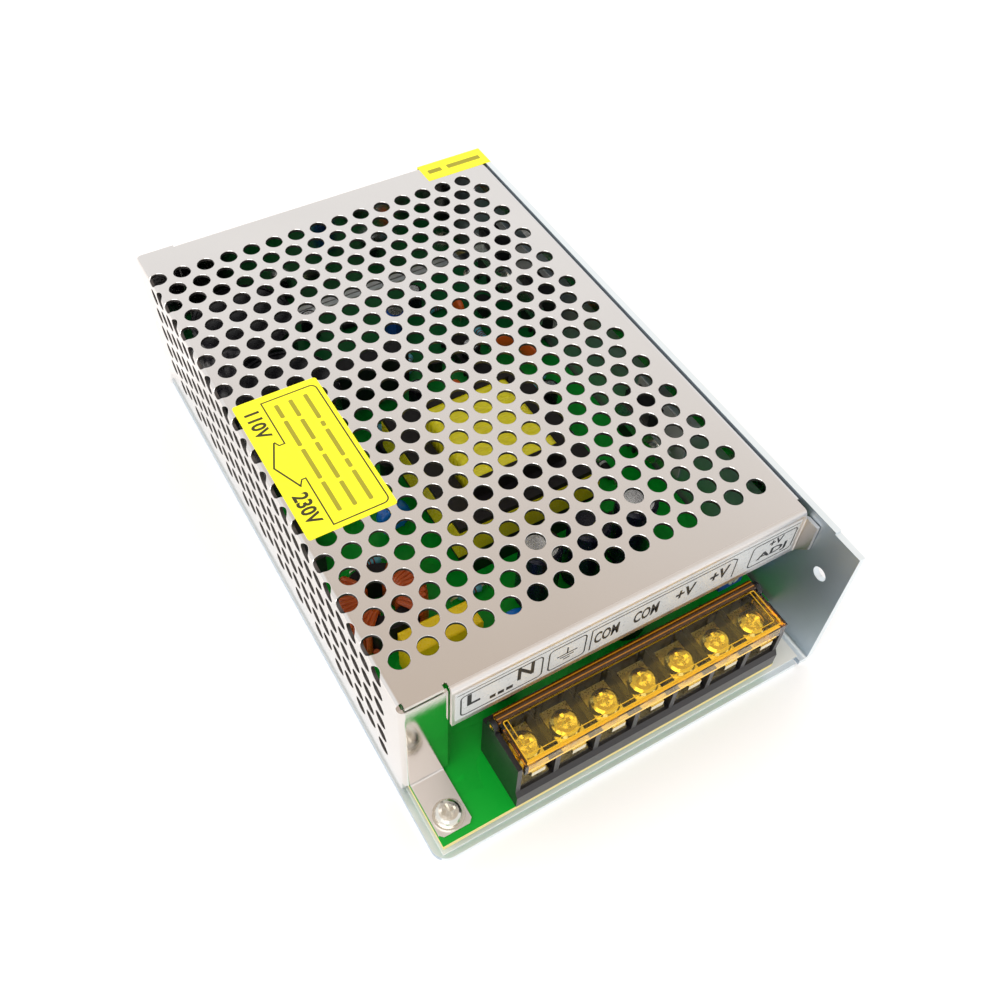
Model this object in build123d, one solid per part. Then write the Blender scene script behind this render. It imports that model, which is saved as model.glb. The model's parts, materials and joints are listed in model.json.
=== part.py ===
from build123d import *
import os
from math import floor, sqrt

# Enclosed switching power supply, in millimetres.
# X runs to the right as seen from the terminal end, Y from the terminal end to the back, Z up.
# The origin is the bottom centre of the case.

# Case
case_width = 99.0
case_length = 159.0
case_height = 42.0
ledge = 14.5              # open ledge in front of the cover, where the terminals stand
label_t = 0.12            # thickness of the stickers

# Chassis: base, right wall and low rear rim folded from one aluminium sheet
chassis_t = 1.5
chassis_bend = 1.0        # inside bend radius
front_corner_r = 3.5
rim_height = 7.0
rim_inset = 5.0
relief_width = 1.2
relief_depth = 1.5
wall_step = 0.6           # the wall is a little lower near its front edge
wall_step_length = 7.5

# Mounting holes
base_hole_x = 78.0        # spacing of the holes in the base
base_hole_y = 120.0
side_hole_y = 100.0       # spacing of the holes in the wall
side_hole_z = 11.0
mount_hole_r = 1.5
ear_hole_r = 1.8          # hole in the wall beside the terminals
ear_hole_y = 6.7          # from the front edge
ear_hole_z = 27.7

# Cover: top, skirt, lip and flanges folded from one steel sheet
sheet_t = 0.8
sheet_bend = 0.4          # inside bend radius
skirt_inset = 0.4         # the skirt stands in from the edge of the base
fit_gap = 0.2             # between the cover and the chassis
floor_gap = 0.3           # under the skirt
side_flange = 8.0
lip_height = 14.2
lip_return = 3.3          # the lip's right end turns forward along the wall
lip_return_slope = 4.1    # height of the slanted corner under its front edge
lip_notch = (0.95, 1.2)   # beside the left end of the lip's bend
bend_relief = 1.4         # the bend of the skirt stops short of the lip
corner_width = 10.1       # corner plates folded in from the skirt
corner_seam = 0.5
corner_drop = 1.4         # from the top of the cover to the top of a corner plate
skirt_corner_r = 3.4
flange_relief = 2.5       # the side flange stops short of the lip and the rear flange
tab_width = 7.7
tab_length = 12.9
tab_margin = 1.3

# Punched holes in the cover
hole_pitch = 6.1
row_pitch = 5.31
hole_sides = 4
hole_r = 2.45
hole_rear_margin = 10.8
hole_front_margin = 10.5
hole_left_margin = 1.95
hole_right_margin = 5.4
skirt_hole_drop = 4.95    # from the top of the cover to the first skirt hole
skirt_hole_rows = 5
bend_hole_drop = 2.3      # from the top of the cover to the holes punched across the bend

# Circuit board and what carries it
insulation_t = 0.25
insulation_gap = 0.9
standoff_h = 3.2
standoff_r = 3.0
board_t = 1.6
board_edge_gap = 0.4
board_front_gap = 1.3
board_rear_gap = 1.2
board_notch_gap = 1.0     # the front right corner ends just before the back of the terminal block
screw_r = 1.45            # M3 shank
screw_gap = 0.1           # radial clearance round a screw
head_r = 2.8
head_h = 1.9
washer_r = 3.4
washer_t = 0.5
thread_depth = 2.5        # of the board screws in the standoffs
# Shares of a pan head's radius and height.
pan_profile = ((1, 0), (1, 0.35), (0.92, 0.72), (0.74, 0.93), (0.5, 1), (0, 1))
recess_width = 0.8        # cross recess of the pan heads
recess_depth = 1.1
recess_reach = 0.55       # share of the head's radius
sink_r = 2.6              # countersunk heads in the wall
sink_h = 1.1

# Terminal block
poles = 7
pole_pitch = 9.7
block_x = 3.0
block_setback = 1.2
block_depth = 14.5
end_wall_t = 1.1
partition_t = 1.3
partition_set = 0.8
back_wall_t = 1.5
strip_h = 4.2
bay_floor_h = 5.7
partition_h = 13.7
back_wall_h = 14.5
end_wall_h = 16.1
contact_t = 0.8
contact_width = 7.0
contact_depth = 10.6
terminal_screw_r = 1.7
terminal_head_r = 3.3
terminal_head_h = 2.2
terminal_screw_y = 6.1    # from the front of the block
pocket_gap = 0.4
wire_gap = 4.2            # room for a wire between contact plate and raised clamp
clamp_t = 0.8
clamp_width = 6.4
clamp_depth = 10.4
clamp_tip = 0.8
clamp_tongue = (3.2, 1.5)  # width and length of the narrow front end
clamp_travel = 4.1

# Lid of the terminal block
lid_t = 1.0
lid_gap = 0.2
lid_height = 3.9
lid_setback = 0.3
lid_rest_gap = 0.3
hinge_y = 11.3            # from the front of the block
hinge_drop = 1.5          # from the top of the lid
lid_tail = 1.1
pin_r = 0.8
pin_gap = 0.08

# Trimmer and indicator
trimmer_x = 6.5           # from the inside of the wall
trimmer_y = 24.9          # from the front of the case
trimmer_size = 6.8
trimmer_depth = 4.8
rotor_r = 1.6
rotor_length = 2.5
rotor_proud = 0.5
slot_width = 0.6
led_r = 1.5
led_h = 4.0
led_rim = 0.4
led_lead = 2.0
led_spacing = 7.5

# Voltage selector switch
selector_y = -1.0
selector_width = 6.0
selector_length = 13.0
selector_h = 7.0
selector_set = 2.2        # from the inside of the skirt
slider_size = 3.0
slider_travel = 4.0
slider_gap = 0.12
slider_depth = 2.1
slider_proud = 1.6

# Main transformer
transformer_x = 5.0
transformer_y = 74.5      # from the front of the case
core_width = 38.0
core_length = 38.0
core_t = 12.0
core_leg = 6.5
core_centre = 12.0
core_yoke = 6.0
core_lift = 8.0
coil_build = 5.5
coil_gap = 0.3
bobbin_t = 0.8
bobbin_flange = 1.2
bobbin_foot_inset = 4.0
tape_t = 0.2
tape_width = 9.0

# Capacitors
bulk_r = 12.5
bulk_h = 29.0
bulk_x = 17.0             # from the edge of the base
bulk_y = 26.5             # from the back
bulk_gap = 2.0
output_r = 5.0
output_h = 20.5
output_x = (-0.5, 12.5, 25.5)
output_y = 43.0           # from the front
can_lip = 0.6
start_r = 3.15
start_h = 12.0
start_x = 9.9
start_y = 25.2            # from the back
film_size = (17.5, 6.5, 14.0)
film_x = 21.7             # from the edge of the base
film_y = 39.0             # from the front
disc_r = 4.2
disc_t = 3.4
disc_lead = 1.5
lead_r = 0.35
lead_pitch = 5.0
disc_spots = ((-20.5, 76.0), (-11.0, 36.0))    # X, and Y from the front

# Other parts on the board
thermistor_r = 5.0
thermistor_t = 4.0
thermistor_x = -20.5
thermistor_y = 24.0       # from the front
fuse_r = 2.6
fuse_length = 20.0
fuse_x = 9.0              # from the edge of the base
fuse_y = 28.5             # from the front
fuse_cap = 5.0
fuse_waist = 0.25
choke_x = 15.0            # from the edge of the base
choke_y = 54.5            # from the front
choke_r = 9.0
choke_bore = 5.0
choke_h = 8.0
choke_build = 1.8
choke_gap = 0.05          # between the ring and its windings
choke_sector = 120.0
drum_r = 6.0
drum_h = 13.0
drum_x = 13.5
drum_y = 28.0             # from the front
bridge_size = (20.0, 4.0, 15.0)
bridge_x = -6.5
bridge_y = 43.5           # from the back
bridge_lead = 3.0
chip_size = (6.4, 19.5, 3.3)
chip_x = 23.5
chip_y = 42.0             # from the back
chip_legs = 8
chip_leg_pitch = 2.54
chip_stand = 0.5

# Power devices clamped to the wall
pad_t = 0.4
pad_h = 18.0
device_width = 10.0
device_t = 4.4
device_h = 15.0
device_lead = 5.0
device_lead_pitch = 2.54
transistor_y = (18.0, 42.0)    # from the back
rectifier_y = 68.0             # from the front
bar_t = 1.2
bar_h = 6.0
bar_z = 20.0
bar_over = 1.0
bar_screw_room = 9.0

# Stickers
voltage_label_size = (20.2, 41.1)
corner_sticker_size = (19.3, 6.9)
corner_sticker_drop = 7.0
strip_label_margin = 0.9
strip_label_lift = 1.65   # from the lower edge of the lip

# Places worked out from the sizes above
left = -case_width / 2
right = case_width / 2
front = -case_length / 2
back = case_length / 2
cover_top = case_height - label_t
skirt_outer = left + skirt_inset
wall_inner = right - chassis_t
flange_outer = wall_inner - fit_gap
rear_flange = back - sheet_t
chassis_back = rear_flange - sheet_t - fit_gap
lip_face = front + ledge
corner_face = lip_face + 1.1
sheet_out = sheet_bend + sheet_t
board_bottom = chassis_t + standoff_h
board_top = board_bottom + board_t
board_left = skirt_outer + sheet_t + board_edge_gap
board_right = wall_inner - board_edge_gap - sheet_bend
board_front = front + board_front_gap
board_back = chassis_back - chassis_t - board_rear_gap
tab_left = skirt_outer + tab_margin
tab_screw = (tab_left + tab_width / 2, front + 6.3)
standoffs = [tab_screw, (left + 6, back - 11), (right - 7, back - 11), (right - 7, front + 38)]
block_left = block_x - poles * pole_pitch / 2
block_front = front + block_setback
block_back = block_front + block_depth
screw_line = block_front + terminal_screw_y
pole_x = [block_left + (i + 0.5) * pole_pitch for i in range(poles)]
bay_floor = board_top + bay_floor_h
contact_top = bay_floor + contact_t
clamp_bottom = contact_top + wire_gap
clamp_top = clamp_bottom + clamp_t
lid_bottom = board_top + partition_h + lid_rest_gap
lid_top = lid_bottom + lid_height
hinge = (block_front + hinge_y, lid_top - hinge_drop)
lid_left = block_left + end_wall_t + lid_gap
lid_right = block_left + poles * pole_pitch - end_wall_t - lid_gap
cover_screw_y = (front + 34, back - 20)
cover_screw_z = cover_top - side_flange / 2


def block(x_limits, y_limits, z_limits):
    """A rectangular solid between two limits on each axis."""
    limits = (x_limits, y_limits, z_limits)
    size = [high - low for low, high in limits]
    centre = [(high + low) / 2 for low, high in limits]
    return Pos(*centre) * Box(*size)


def rod(x, y, z_limits, radius):
    """A round bar along Z."""
    low, high = z_limits
    return Pos(x, y, (low + high) / 2) * Cylinder(radius, high - low)


def rod_x(x_limits, y, z, radius):
    """A round bar along X."""
    low, high = x_limits
    return Pos((low + high) / 2, y, z) * Rot(0, 90, 0) * Cylinder(radius, high - low)


def rod_y(x, y_limits, z, radius):
    """A round bar along Y."""
    low, high = y_limits
    return Pos(x, (low + high) / 2, z) * Rot(90, 0, 0) * Cylinder(radius, high - low)


def along_x(x_limits):
    """The plane of a profile drawn in Y and Z, extruded between two X limits."""
    return Plane(origin=(x_limits[0], 0, 0), x_dir=(0, 1, 0), z_dir=(1, 0, 0))


def along_y(y_limits):
    """The plane of a profile drawn in X and Z, extruded between two Y limits."""
    return Plane(origin=(0, y_limits[1], 0), x_dir=(1, 0, 0), z_dir=(0, -1, 0))


def folded(points, thickness, bend, plane, length):
    """A strip of sheet that follows the middle of its thickness round its bends."""
    path = FilletPolyline(*points, radius=bend + thickness / 2)
    return extrude(plane * trace(path, thickness), length)


def turned(x, y, z, outline):
    """A solid turned about a vertical axis, from points of radius and height."""
    profile = make_face(Polyline(*outline, close=True))
    return Pos(x, y, z) * revolve(Plane.XZ * profile, Axis.Z)


def hole_rows():
    """Y of each row of punched holes, from the back."""
    first = rear_flange - hole_rear_margin
    last = lip_face + hole_front_margin
    count = floor((first - last) / row_pitch) + 1
    return [first - i * row_pitch for i in range(count)]


def top_hole_places():
    """Every second row is set in by half a pitch."""
    places = []
    for i, y in enumerate(hole_rows()):
        first = skirt_outer + hole_left_margin + (i % 2) * hole_pitch / 2
        count = floor((flange_outer - hole_right_margin - first) / hole_pitch) + 1
        places += [(first + j * hole_pitch, y) for j in range(count)]
    return places


def skirt_hole_places():
    """The rows of the top run on down the skirt."""
    places = []
    for i, y in enumerate(hole_rows()):
        first = cover_top - skirt_hole_drop - (i % 2) * hole_pitch / 2
        places += [(y, first - j * hole_pitch) for j in range(skirt_hole_rows)]
    return places


def perforated(size, centre, places):
    """A flat outline with the punched holes taken out of it."""
    holes = [Pos(u, v) * RegularPolygon(hole_r, hole_sides) for u, v in places]
    return Pos(*centre) * Rectangle(*size) - holes


def cover_plates():
    """The perforated top and skirt and the bend between them."""
    x_low = skirt_outer + sheet_out
    x_high = flange_outer - sheet_out
    y_low = lip_face + sheet_out
    y_high = rear_flange - sheet_out
    size = (x_high - x_low, y_high - y_low)
    centre = ((x_low + x_high) / 2, (y_low + y_high) / 2)
    top = perforated(size, centre, top_hole_places())
    top = extrude(Plane.XY.offset(cover_top - sheet_t) * top, sheet_t)

    z_low = chassis_t + floor_gap
    z_high = cover_top - sheet_out
    skirt_low = corner_face + sheet_out
    skirt_high = back - sheet_out
    size = (skirt_high - skirt_low, z_high - z_low)
    centre = ((skirt_low + skirt_high) / 2, (z_low + z_high) / 2)
    skirt = perforated(size, centre, skirt_hole_places())
    corner = skirt.vertices().group_by(Axis.X)[0].sort_by(Axis.Y)[0]
    skirt = fillet(corner, skirt_corner_r)
    skirt = extrude(along_x((skirt_outer, 0)) * skirt, sheet_t)

    mid = sheet_t / 2
    bend_y = (y_low + bend_relief, rear_flange - fit_gap)
    points = [
        (skirt_outer + mid, z_high - mid),
        (skirt_outer + mid, cover_top - mid),
        (x_low + mid, cover_top - mid),
    ]
    bend = folded(points, sheet_t, sheet_bend, along_y(bend_y), bend_y[1] - bend_y[0])
    tongue = block(
        (x_low, skirt_outer + corner_width - corner_seam),
        (y_high - sheet_t, bend_y[1]),
        (cover_top - sheet_t, cover_top),
    )
    notch_x = skirt_outer + corner_width + corner_seam / 2
    notch = block((notch_x - lip_notch[0], notch_x), (y_low, y_low + lip_notch[1]), (z_high, cover_top))
    return top + skirt + bend + tongue - notch


def cover_flanges():
    """The lip, the rear flange and the side flange, each folded down from the top."""
    mid = sheet_t / 2
    height = cover_top - mid
    x_limits = (skirt_outer + corner_width + corner_seam / 2, flange_outer - sheet_out)
    points = [
        (lip_face + 2 * sheet_out, height),
        (lip_face + mid, height),
        (lip_face + mid, cover_top - lip_height),
    ]
    lip = folded(points, sheet_t, sheet_bend, along_x(x_limits), x_limits[1] - x_limits[0])

    points = [(flange_outer - mid - 4, lip_face + mid), (flange_outer - mid, lip_face + mid)]
    points.append((flange_outer - mid, lip_face - lip_return))
    lip_z = (cover_top - lip_height, cover_top - 2 * sheet_out)
    lip += folded(points, sheet_t, sheet_bend, Plane.XY.offset(lip_z[0]), lip_z[1] - lip_z[0])
    tip = lip_face - lip_return
    slant = Polyline((lip_face, lip_z[0]), (tip, lip_z[0] + lip_return_slope), (tip, lip_z[0]), close=True)
    lip -= extrude(along_x((flange_outer - 2 * sheet_t, 0)) * make_face(slant), 3 * sheet_t)

    x_limits = (skirt_outer + corner_width - corner_seam / 2, flange_outer)
    points = [
        (rear_flange - 2 * sheet_out, height),
        (rear_flange - mid, height),
        (rear_flange - mid, floor_gap),
    ]
    rear = folded(points, sheet_t, sheet_bend, along_x(x_limits), x_limits[1] - x_limits[0])

    y_limits = (lip_face + sheet_out + flange_relief, rear_flange - 2 * sheet_out - flange_relief)
    x_mid = flange_outer - mid
    points = [(x_mid - 2 * sheet_out, height), (x_mid, height), (x_mid, cover_top - side_flange)]
    side = folded(points, sheet_t, sheet_bend, along_y(y_limits), y_limits[1] - y_limits[0])
    for y in cover_screw_y:
        side -= rod_x((flange_outer - 2, flange_outer + 1), y, cover_screw_z, screw_r + screw_gap)
    return lip + rear + side


def cover_corners():
    """The plates folded in from the two ends of the skirt, and the screw tab of the front one."""
    mid = sheet_t / 2
    x_skirt = skirt_outer + mid
    x_end = skirt_outer + corner_width
    z_high = cover_top - corner_drop
    z_low = board_top + sheet_out
    y = corner_face + mid
    points = [(x_skirt, y + 2 * sheet_out), (x_skirt, y), (x_end, y)]
    front_plate = folded(points, sheet_t, sheet_bend, Plane.XY.offset(z_low), z_high - z_low)

    x_limits = (tab_left, tab_left + tab_width)
    points = [(y, z_low + sheet_t), (y, board_top + mid), (corner_face - tab_length, board_top + mid)]
    tab = folded(points, sheet_t, sheet_bend, along_x(x_limits), tab_width)
    tab -= rod(*tab_screw, (board_top - 1, board_top + 2), screw_r + screw_gap)

    z_low = chassis_t + floor_gap
    y = back - mid
    points = [(x_skirt, y - 2 * sheet_out), (x_skirt, y), (x_end - corner_seam, y)]
    rear_plate = folded(points, sheet_t, sheet_bend, Plane.XY.offset(z_low), z_high - z_low)
    return front_plate + tab + rear_plate


def cover():
    """The whole cover, with the holes that were punched across the bend."""
    z = cover_top - bend_hole_drop
    outline = RegularPolygon(hole_r, hole_sides)
    plane = along_x((skirt_outer - 1, 0))
    holes = [extrude(plane * Pos(y, z) * outline, 1 + 2 * sheet_t) for y in hole_rows()[1::2]]
    return cover_plates() - holes + [cover_flanges(), cover_corners()]


def chassis():
    """The base, the right wall and the low rim at the back."""
    mid = chassis_t / 2
    length = chassis_back - front
    points = [(left, mid), (right - mid, mid), (right - mid, cover_top)]
    body = folded(points, chassis_t, chassis_bend, along_y((front, chassis_back)), length)
    rim_bend = chassis_t + chassis_bend
    body -= block((left - 1, wall_inner - chassis_bend), (chassis_back - rim_bend, back), (-1, chassis_t))
    x_limits = (left + rim_inset, wall_inner - rim_inset)
    y = chassis_back - mid
    points = [(y - 2 * rim_bend, mid), (y, mid), (y, rim_height)]
    body += folded(points, chassis_t, chassis_bend, along_x(x_limits), x_limits[1] - x_limits[0])

    corner = body.edges().filter_by(Axis.Z).group_by(Axis.X)[0].sort_by(Axis.Y)[0]
    body = fillet(corner, front_corner_r)
    x = wall_inner - chassis_bend - relief_width
    body -= block((x - relief_width, x), (front - 1, front + relief_depth), (-1, chassis_t + 1))
    y_limits = (front - 1, front + wall_step_length)
    body -= block((wall_inner - 1, right + 1), y_limits, (cover_top - wall_step, case_height))
    for x in (-base_hole_x / 2, base_hole_x / 2):
        for y in (-base_hole_y / 2, base_hole_y / 2):
            body -= rod(x, y, (-1, chassis_t + 1), mount_hole_r)
    for y in (-side_hole_y / 2, side_hole_y / 2):
        body -= rod_x((wall_inner - 1, right + 1), y, side_hole_z, mount_hole_r)
    body -= rod_x((wall_inner - 1, right + 1), front + ear_hole_y, ear_hole_z, ear_hole_r)
    for y in cover_screw_y:
        body -= rod_x((wall_inner - 1, right + 1), y, cover_screw_z, screw_r + screw_gap)
        body -= countersunk(y, screw_gap)
    for y, z in clamp_screw_places():
        body -= rod_x((wall_inner - 1, right + 1), y, z, screw_r + screw_gap)
    return body


def countersunk(y, gap):
    """The cone of a countersunk head, its wide end flush with the outside of the wall."""
    cone = Cone(screw_r + gap, sink_r + gap, sink_h)
    return Pos(right - sink_h / 2, y, cover_screw_z) * Rot(0, 90, 0) * cone


def cover_side_screws():
    """Two countersunk screws through the wall into the side flange."""
    tip = flange_outer - sheet_t - 2
    return [
        countersunk(y, 0) + rod_x((tip, right - sink_h), y, cover_screw_z, screw_r)
        for y in cover_screw_y
    ]


def insulation_sheet():
    """Thin plastic sheet between the base and the board, cut out round standoffs and holes."""
    y_limits = (board_front, board_back)
    x_limits = (board_left, wall_inner - chassis_bend - insulation_gap)
    body = block(x_limits, y_limits, (chassis_t, chassis_t + insulation_t))
    for x, y in standoffs:
        body -= rod(x, y, (0, standoff_h), standoff_r + fit_gap)
    for x in (-base_hole_x / 2, base_hole_x / 2):
        for y in (-base_hole_y / 2, base_hole_y / 2):
            body -= rod(x, y, (0, standoff_h), 2 * mount_hole_r)
    return body


def circuit_board():
    """The board, with a hole over each standoff."""
    body = block((board_left, board_right), (board_front, board_back), (board_bottom, board_top))
    for x, y in standoffs:
        body -= rod(x, y, (board_bottom - 1, board_top + 1), screw_r + screw_gap)
    notch_x = block_left + poles * pole_pitch + board_edge_gap
    notch = ((notch_x, board_right + 1), (board_front - 1, block_back - board_notch_gap))
    return body - block(*notch, (board_bottom - 1, board_top + 1))


def board_standoffs():
    """Threaded spacers riveted to the base."""
    spacer = Cylinder(standoff_r, standoff_h) - Cylinder(screw_r + screw_gap, standoff_h)
    return [Pos(x, y, chassis_t + standoff_h / 2) * spacer for x, y in standoffs]


def cross_recess(x, y, top, reach):
    """The cross that is cut into a screw head."""
    half = recess_width / 2
    z_limits = (top - recess_depth, top + 1)
    across = block((x - reach, x + reach), (y - half, y + half), z_limits)
    return across + block((x - half, x + half), (y - reach, y + reach), z_limits)


def pan_screw(x, y, seat, washer):
    """A pan-head screw down into a standoff, with or without a washer under its head."""
    tip = board_bottom - thread_depth - seat
    rise = washer_t if washer else 0
    outline = [(0, tip), (screw_r, tip), (screw_r, 0)]
    if washer:
        outline += [(washer_r, 0), (washer_r, washer_t)]
    outline += [(head_r * r, rise + head_h * z) for r, z in pan_profile]
    return turned(x, y, seat, outline) - cross_recess(x, y, seat + rise + head_h, head_r * recess_reach)


def board_screws():
    """The three screws that hold the board alone."""
    return [pan_screw(x, y, board_top, False) for x, y in standoffs[1:]]


def cover_tab_screw():
    """The screw that holds the tab of the cover and the front corner of the board."""
    return pan_screw(*tab_screw, board_top + sheet_t, True)


def end_wall_outline():
    """Side view of the end walls, with the ear round the hinge pin."""
    y, z = hinge
    ear = hinge_drop + 0.1
    low = board_top + end_wall_h
    points = [
        (block_front, board_top),
        (block_front, board_top + strip_h),
        (block_front + partition_set, bay_floor),
        (block_front + partition_set, low),
        (y - ear, low),
        (y, low),
        (y, z),
        (block_back - back_wall_t, z),
        (block_back - back_wall_t, board_top + back_wall_h),
        (block_back, board_top + back_wall_h),
        (block_back, board_top),
    ]
    return make_face(Polyline(*points, close=True)) + Pos(y, z) * Circle(ear)


def terminal_housing():
    """The moulded block: an end wall at each side, and a bay with a floor for each pole."""
    points = [
        (block_front, board_top),
        (block_front, board_top + strip_h),
        (block_front + partition_set, bay_floor),
        (block_front + partition_set, board_top + partition_h),
        (block_back - back_wall_t, board_top + partition_h),
        (block_back - back_wall_t, board_top + back_wall_h),
        (block_back, board_top + back_wall_h),
        (block_back, board_top),
    ]
    width = poles * pole_pitch
    body = extrude(along_x((block_left, 0)) * make_face(Polyline(*points, close=True)), width)
    for x in (block_left, block_left + width - end_wall_t):
        body += extrude(along_x((x, 0)) * end_wall_outline(), end_wall_t)
        body -= rod_x((x - 1, x + end_wall_t + 1), *hinge, pin_r + pin_gap)
    for i, x in enumerate(pole_x):
        low = end_wall_t if i == 0 else partition_t / 2
        high = end_wall_t if i == poles - 1 else partition_t / 2
        bay_x = (x - pole_pitch / 2 + low, x + pole_pitch / 2 - high)
        bay_y = (block_front - 1, block_back - back_wall_t)
        body -= block(bay_x, bay_y, (bay_floor, lid_top + 1))
        floor_z = bay_floor - clamp_travel - pocket_gap
        body -= rod(x, screw_line, (floor_z, bay_floor + 1), terminal_screw_r + pocket_gap)
    return body


def contact_plates():
    """The plate at the bottom of each bay, tapped for the terminal screw."""
    y = block_front + partition_set + 0.7
    plates = []
    for x in pole_x:
        x_limits = (x - contact_width / 2, x + contact_width / 2)
        plate = block(x_limits, (y, y + contact_depth), (bay_floor, contact_top))
        plates.append(plate - rod(x, screw_line, (0, case_height), terminal_screw_r + pin_gap))
    return plates


def wire_clamp(x):
    """The clamp under a terminal screw head, its front edge turned up."""
    y = block_front + 0.5
    width, length = clamp_tongue
    x_limits = (x - width / 2, x + width / 2)
    y_limits = (y + length, y + clamp_depth)
    plate = block((x - clamp_width / 2, x + clamp_width / 2), y_limits, (clamp_bottom, clamp_top))
    plate += block(x_limits, (y, y + length), (clamp_bottom, clamp_top))
    tip = block(x_limits, (y, y + clamp_tip), (clamp_top, clamp_top + clamp_tip))
    hole = rod(x, screw_line, (clamp_bottom - 1, clamp_top + 1), terminal_screw_r + screw_gap)
    return plate + tip - hole


def terminal_screw(x):
    """A pan-head terminal screw, backed out as far as it goes."""
    tip = bay_floor - 0.2 - clamp_top
    outline = [(0, tip), (terminal_screw_r, tip), (terminal_screw_r, 0)]
    outline += [(terminal_head_r * r, terminal_head_h * z) for r, z in pan_profile]
    recess = cross_recess(x, screw_line, clamp_top + terminal_head_h, terminal_head_r * recess_reach)
    return turned(x, screw_line, clamp_top, outline) - recess


def terminal_lid():
    """The clear flip-up lid: a tray with a pin at each end of its rear edge."""
    y, z = hinge
    y_front = block_front + lid_setback
    z_step = z - hinge_drop
    side = [
        (y_front, lid_bottom),
        (y - hinge_drop, lid_bottom),
        (y - hinge_drop, z_step),
        (y, z_step),
        (y + lid_tail, z),
        (y + lid_tail, lid_top),
        (y_front, lid_top),
    ]
    outer = extrude(along_x((lid_left, 0)) * make_face(Polyline(*side, close=True)), lid_right - lid_left)
    outer = fillet(outer.edges().filter_by(Axis.X).group_by(Axis.Z)[-1].sort_by(Axis.Y)[0], lid_t / 2)
    inner = block(
        (lid_left + lid_t, lid_right - lid_t),
        (y_front + lid_t, y + lid_tail + 1),
        (lid_bottom - 1, lid_top - lid_t),
    )
    lid = outer - inner
    pin = end_wall_t - pin_gap
    lid += rod_x((lid_left - lid_gap - pin, lid_left + lid_t), y, z, pin_r)
    lid += rod_x((lid_right - lid_t, lid_right + lid_gap + pin), y, z, pin_r)
    return lid


def trimmer_place():
    """X and Z of the rotor's axis and the Y limits of the body."""
    x = wall_inner - trimmer_x
    y = front + trimmer_y
    return x, (y - trimmer_depth / 2, y + trimmer_depth / 2), board_top + trimmer_size / 2


def trimmer_body():
    """The output voltage trimmer, adjusted from the front."""
    x, y_limits, z = trimmer_place()
    half = trimmer_size / 2
    body = block((x - half, x + half), y_limits, (z - half, z + half))
    hole_y = (y_limits[0] - 1, y_limits[0] + rotor_length + pin_gap)
    return body - rod_y(x, hole_y, z, rotor_r + pin_gap)


def trimmer_rotor():
    """The slotted rotor of the trimmer."""
    x, y_limits, z = trimmer_place()
    y = y_limits[0] - rotor_proud
    body = rod_y(x, (y, y_limits[0] + rotor_length), z, rotor_r)
    return body - block((x - slot_width / 2, x + slot_width / 2), (y - 1, y + rotor_proud), (z - 3, z + 3))


def indicator_led():
    """A round indicator lamp standing on its leads beside the trimmer."""
    x = trimmer_place()[0] - led_spacing
    y = front + trimmer_y
    z = board_top + led_lead
    lamp = rod(x, y, (z, z + led_h), led_r) + Pos(x, y, z + led_h) * Sphere(led_r)
    lamp += rod(x, y, (z, z + 2 * led_rim), led_r + led_rim)
    for side in (-1, 1):
        lamp += rod(x + side * led_r / 2, y, (board_top, z), lead_r)
    return lamp


def selector_limits():
    """X limits of the switch body and Z of its slider."""
    x = skirt_outer + sheet_t + selector_set
    return (x, x + selector_width), board_top + selector_h / 2


def selector_body():
    """The voltage selector switch behind the skirt, with a slot for its slider."""
    x_limits, z = selector_limits()
    half = selector_length / 2
    body = block(x_limits, (selector_y - half, selector_y + half), (board_top, board_top + selector_h))
    slot = (slider_size + slider_travel) / 2 + slider_gap
    high = slider_size / 2 + slider_gap
    depth = (x_limits[0] - 1, x_limits[0] + slider_depth + slider_gap)
    return body - block(depth, (selector_y - slot, selector_y + slot), (z - high, z + high))


def selector_slider():
    """The slider, at the front end of its travel."""
    x_limits, z = selector_limits()
    y = selector_y - slider_travel / 2
    half = slider_size / 2
    x = x_limits[0]
    return block((x - slider_proud, x + slider_depth), (y - half, y + half), (z - half, z + half))


def transformer_frame():
    """Centre of the transformer and the Z limits of its core."""
    z = board_top + core_lift
    return transformer_x, front + transformer_y, (z, z + core_t)


def transformer_core():
    """Two E cores closed on each other, lying flat."""
    x, y, z_limits = transformer_frame()
    y_limits = (y - core_length / 2, y + core_length / 2)
    body = block((x - core_width / 2, x + core_width / 2), y_limits, z_limits)
    window = core_width / 2 - core_leg
    reach = core_length / 2 - core_yoke
    for low, high in ((core_centre / 2, window), (-window, -core_centre / 2)):
        body -= block((x + low, x + high), (y - reach, y + reach), (z_limits[0] - 1, z_limits[1] + 1))
    return body


def coil_limits(build):
    """X and Z limits of a layer wound round the centre leg, at a depth of build."""
    x, _, z_limits = transformer_frame()
    half = core_centre / 2 + build
    return (x - half, x + half), (z_limits[0] - build, z_limits[1] + build)


def transformer_bobbin():
    """The bobbin: a tube on the centre leg, a flange at each end and two feet on the board."""
    x, y, z_limits = transformer_frame()
    reach = core_length / 2 - core_yoke
    tube_x, tube_z = coil_limits(bobbin_t)
    body = block(tube_x, (y - reach, y + reach), tube_z)
    flange_x, flange_z = coil_limits(coil_build + coil_gap)
    foot = core_width / 2 - bobbin_foot_inset
    for side in (-1, 1):
        ends = sorted((y + side * reach, y + side * (reach - bobbin_flange)))
        body += block(flange_x, ends, flange_z)
        ends = sorted((y + side * core_length / 2, y + side * (reach - bobbin_flange)))
        body += block((x - foot, x + foot), ends, (board_top, z_limits[0]))
    return body - transformer_core()


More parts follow.
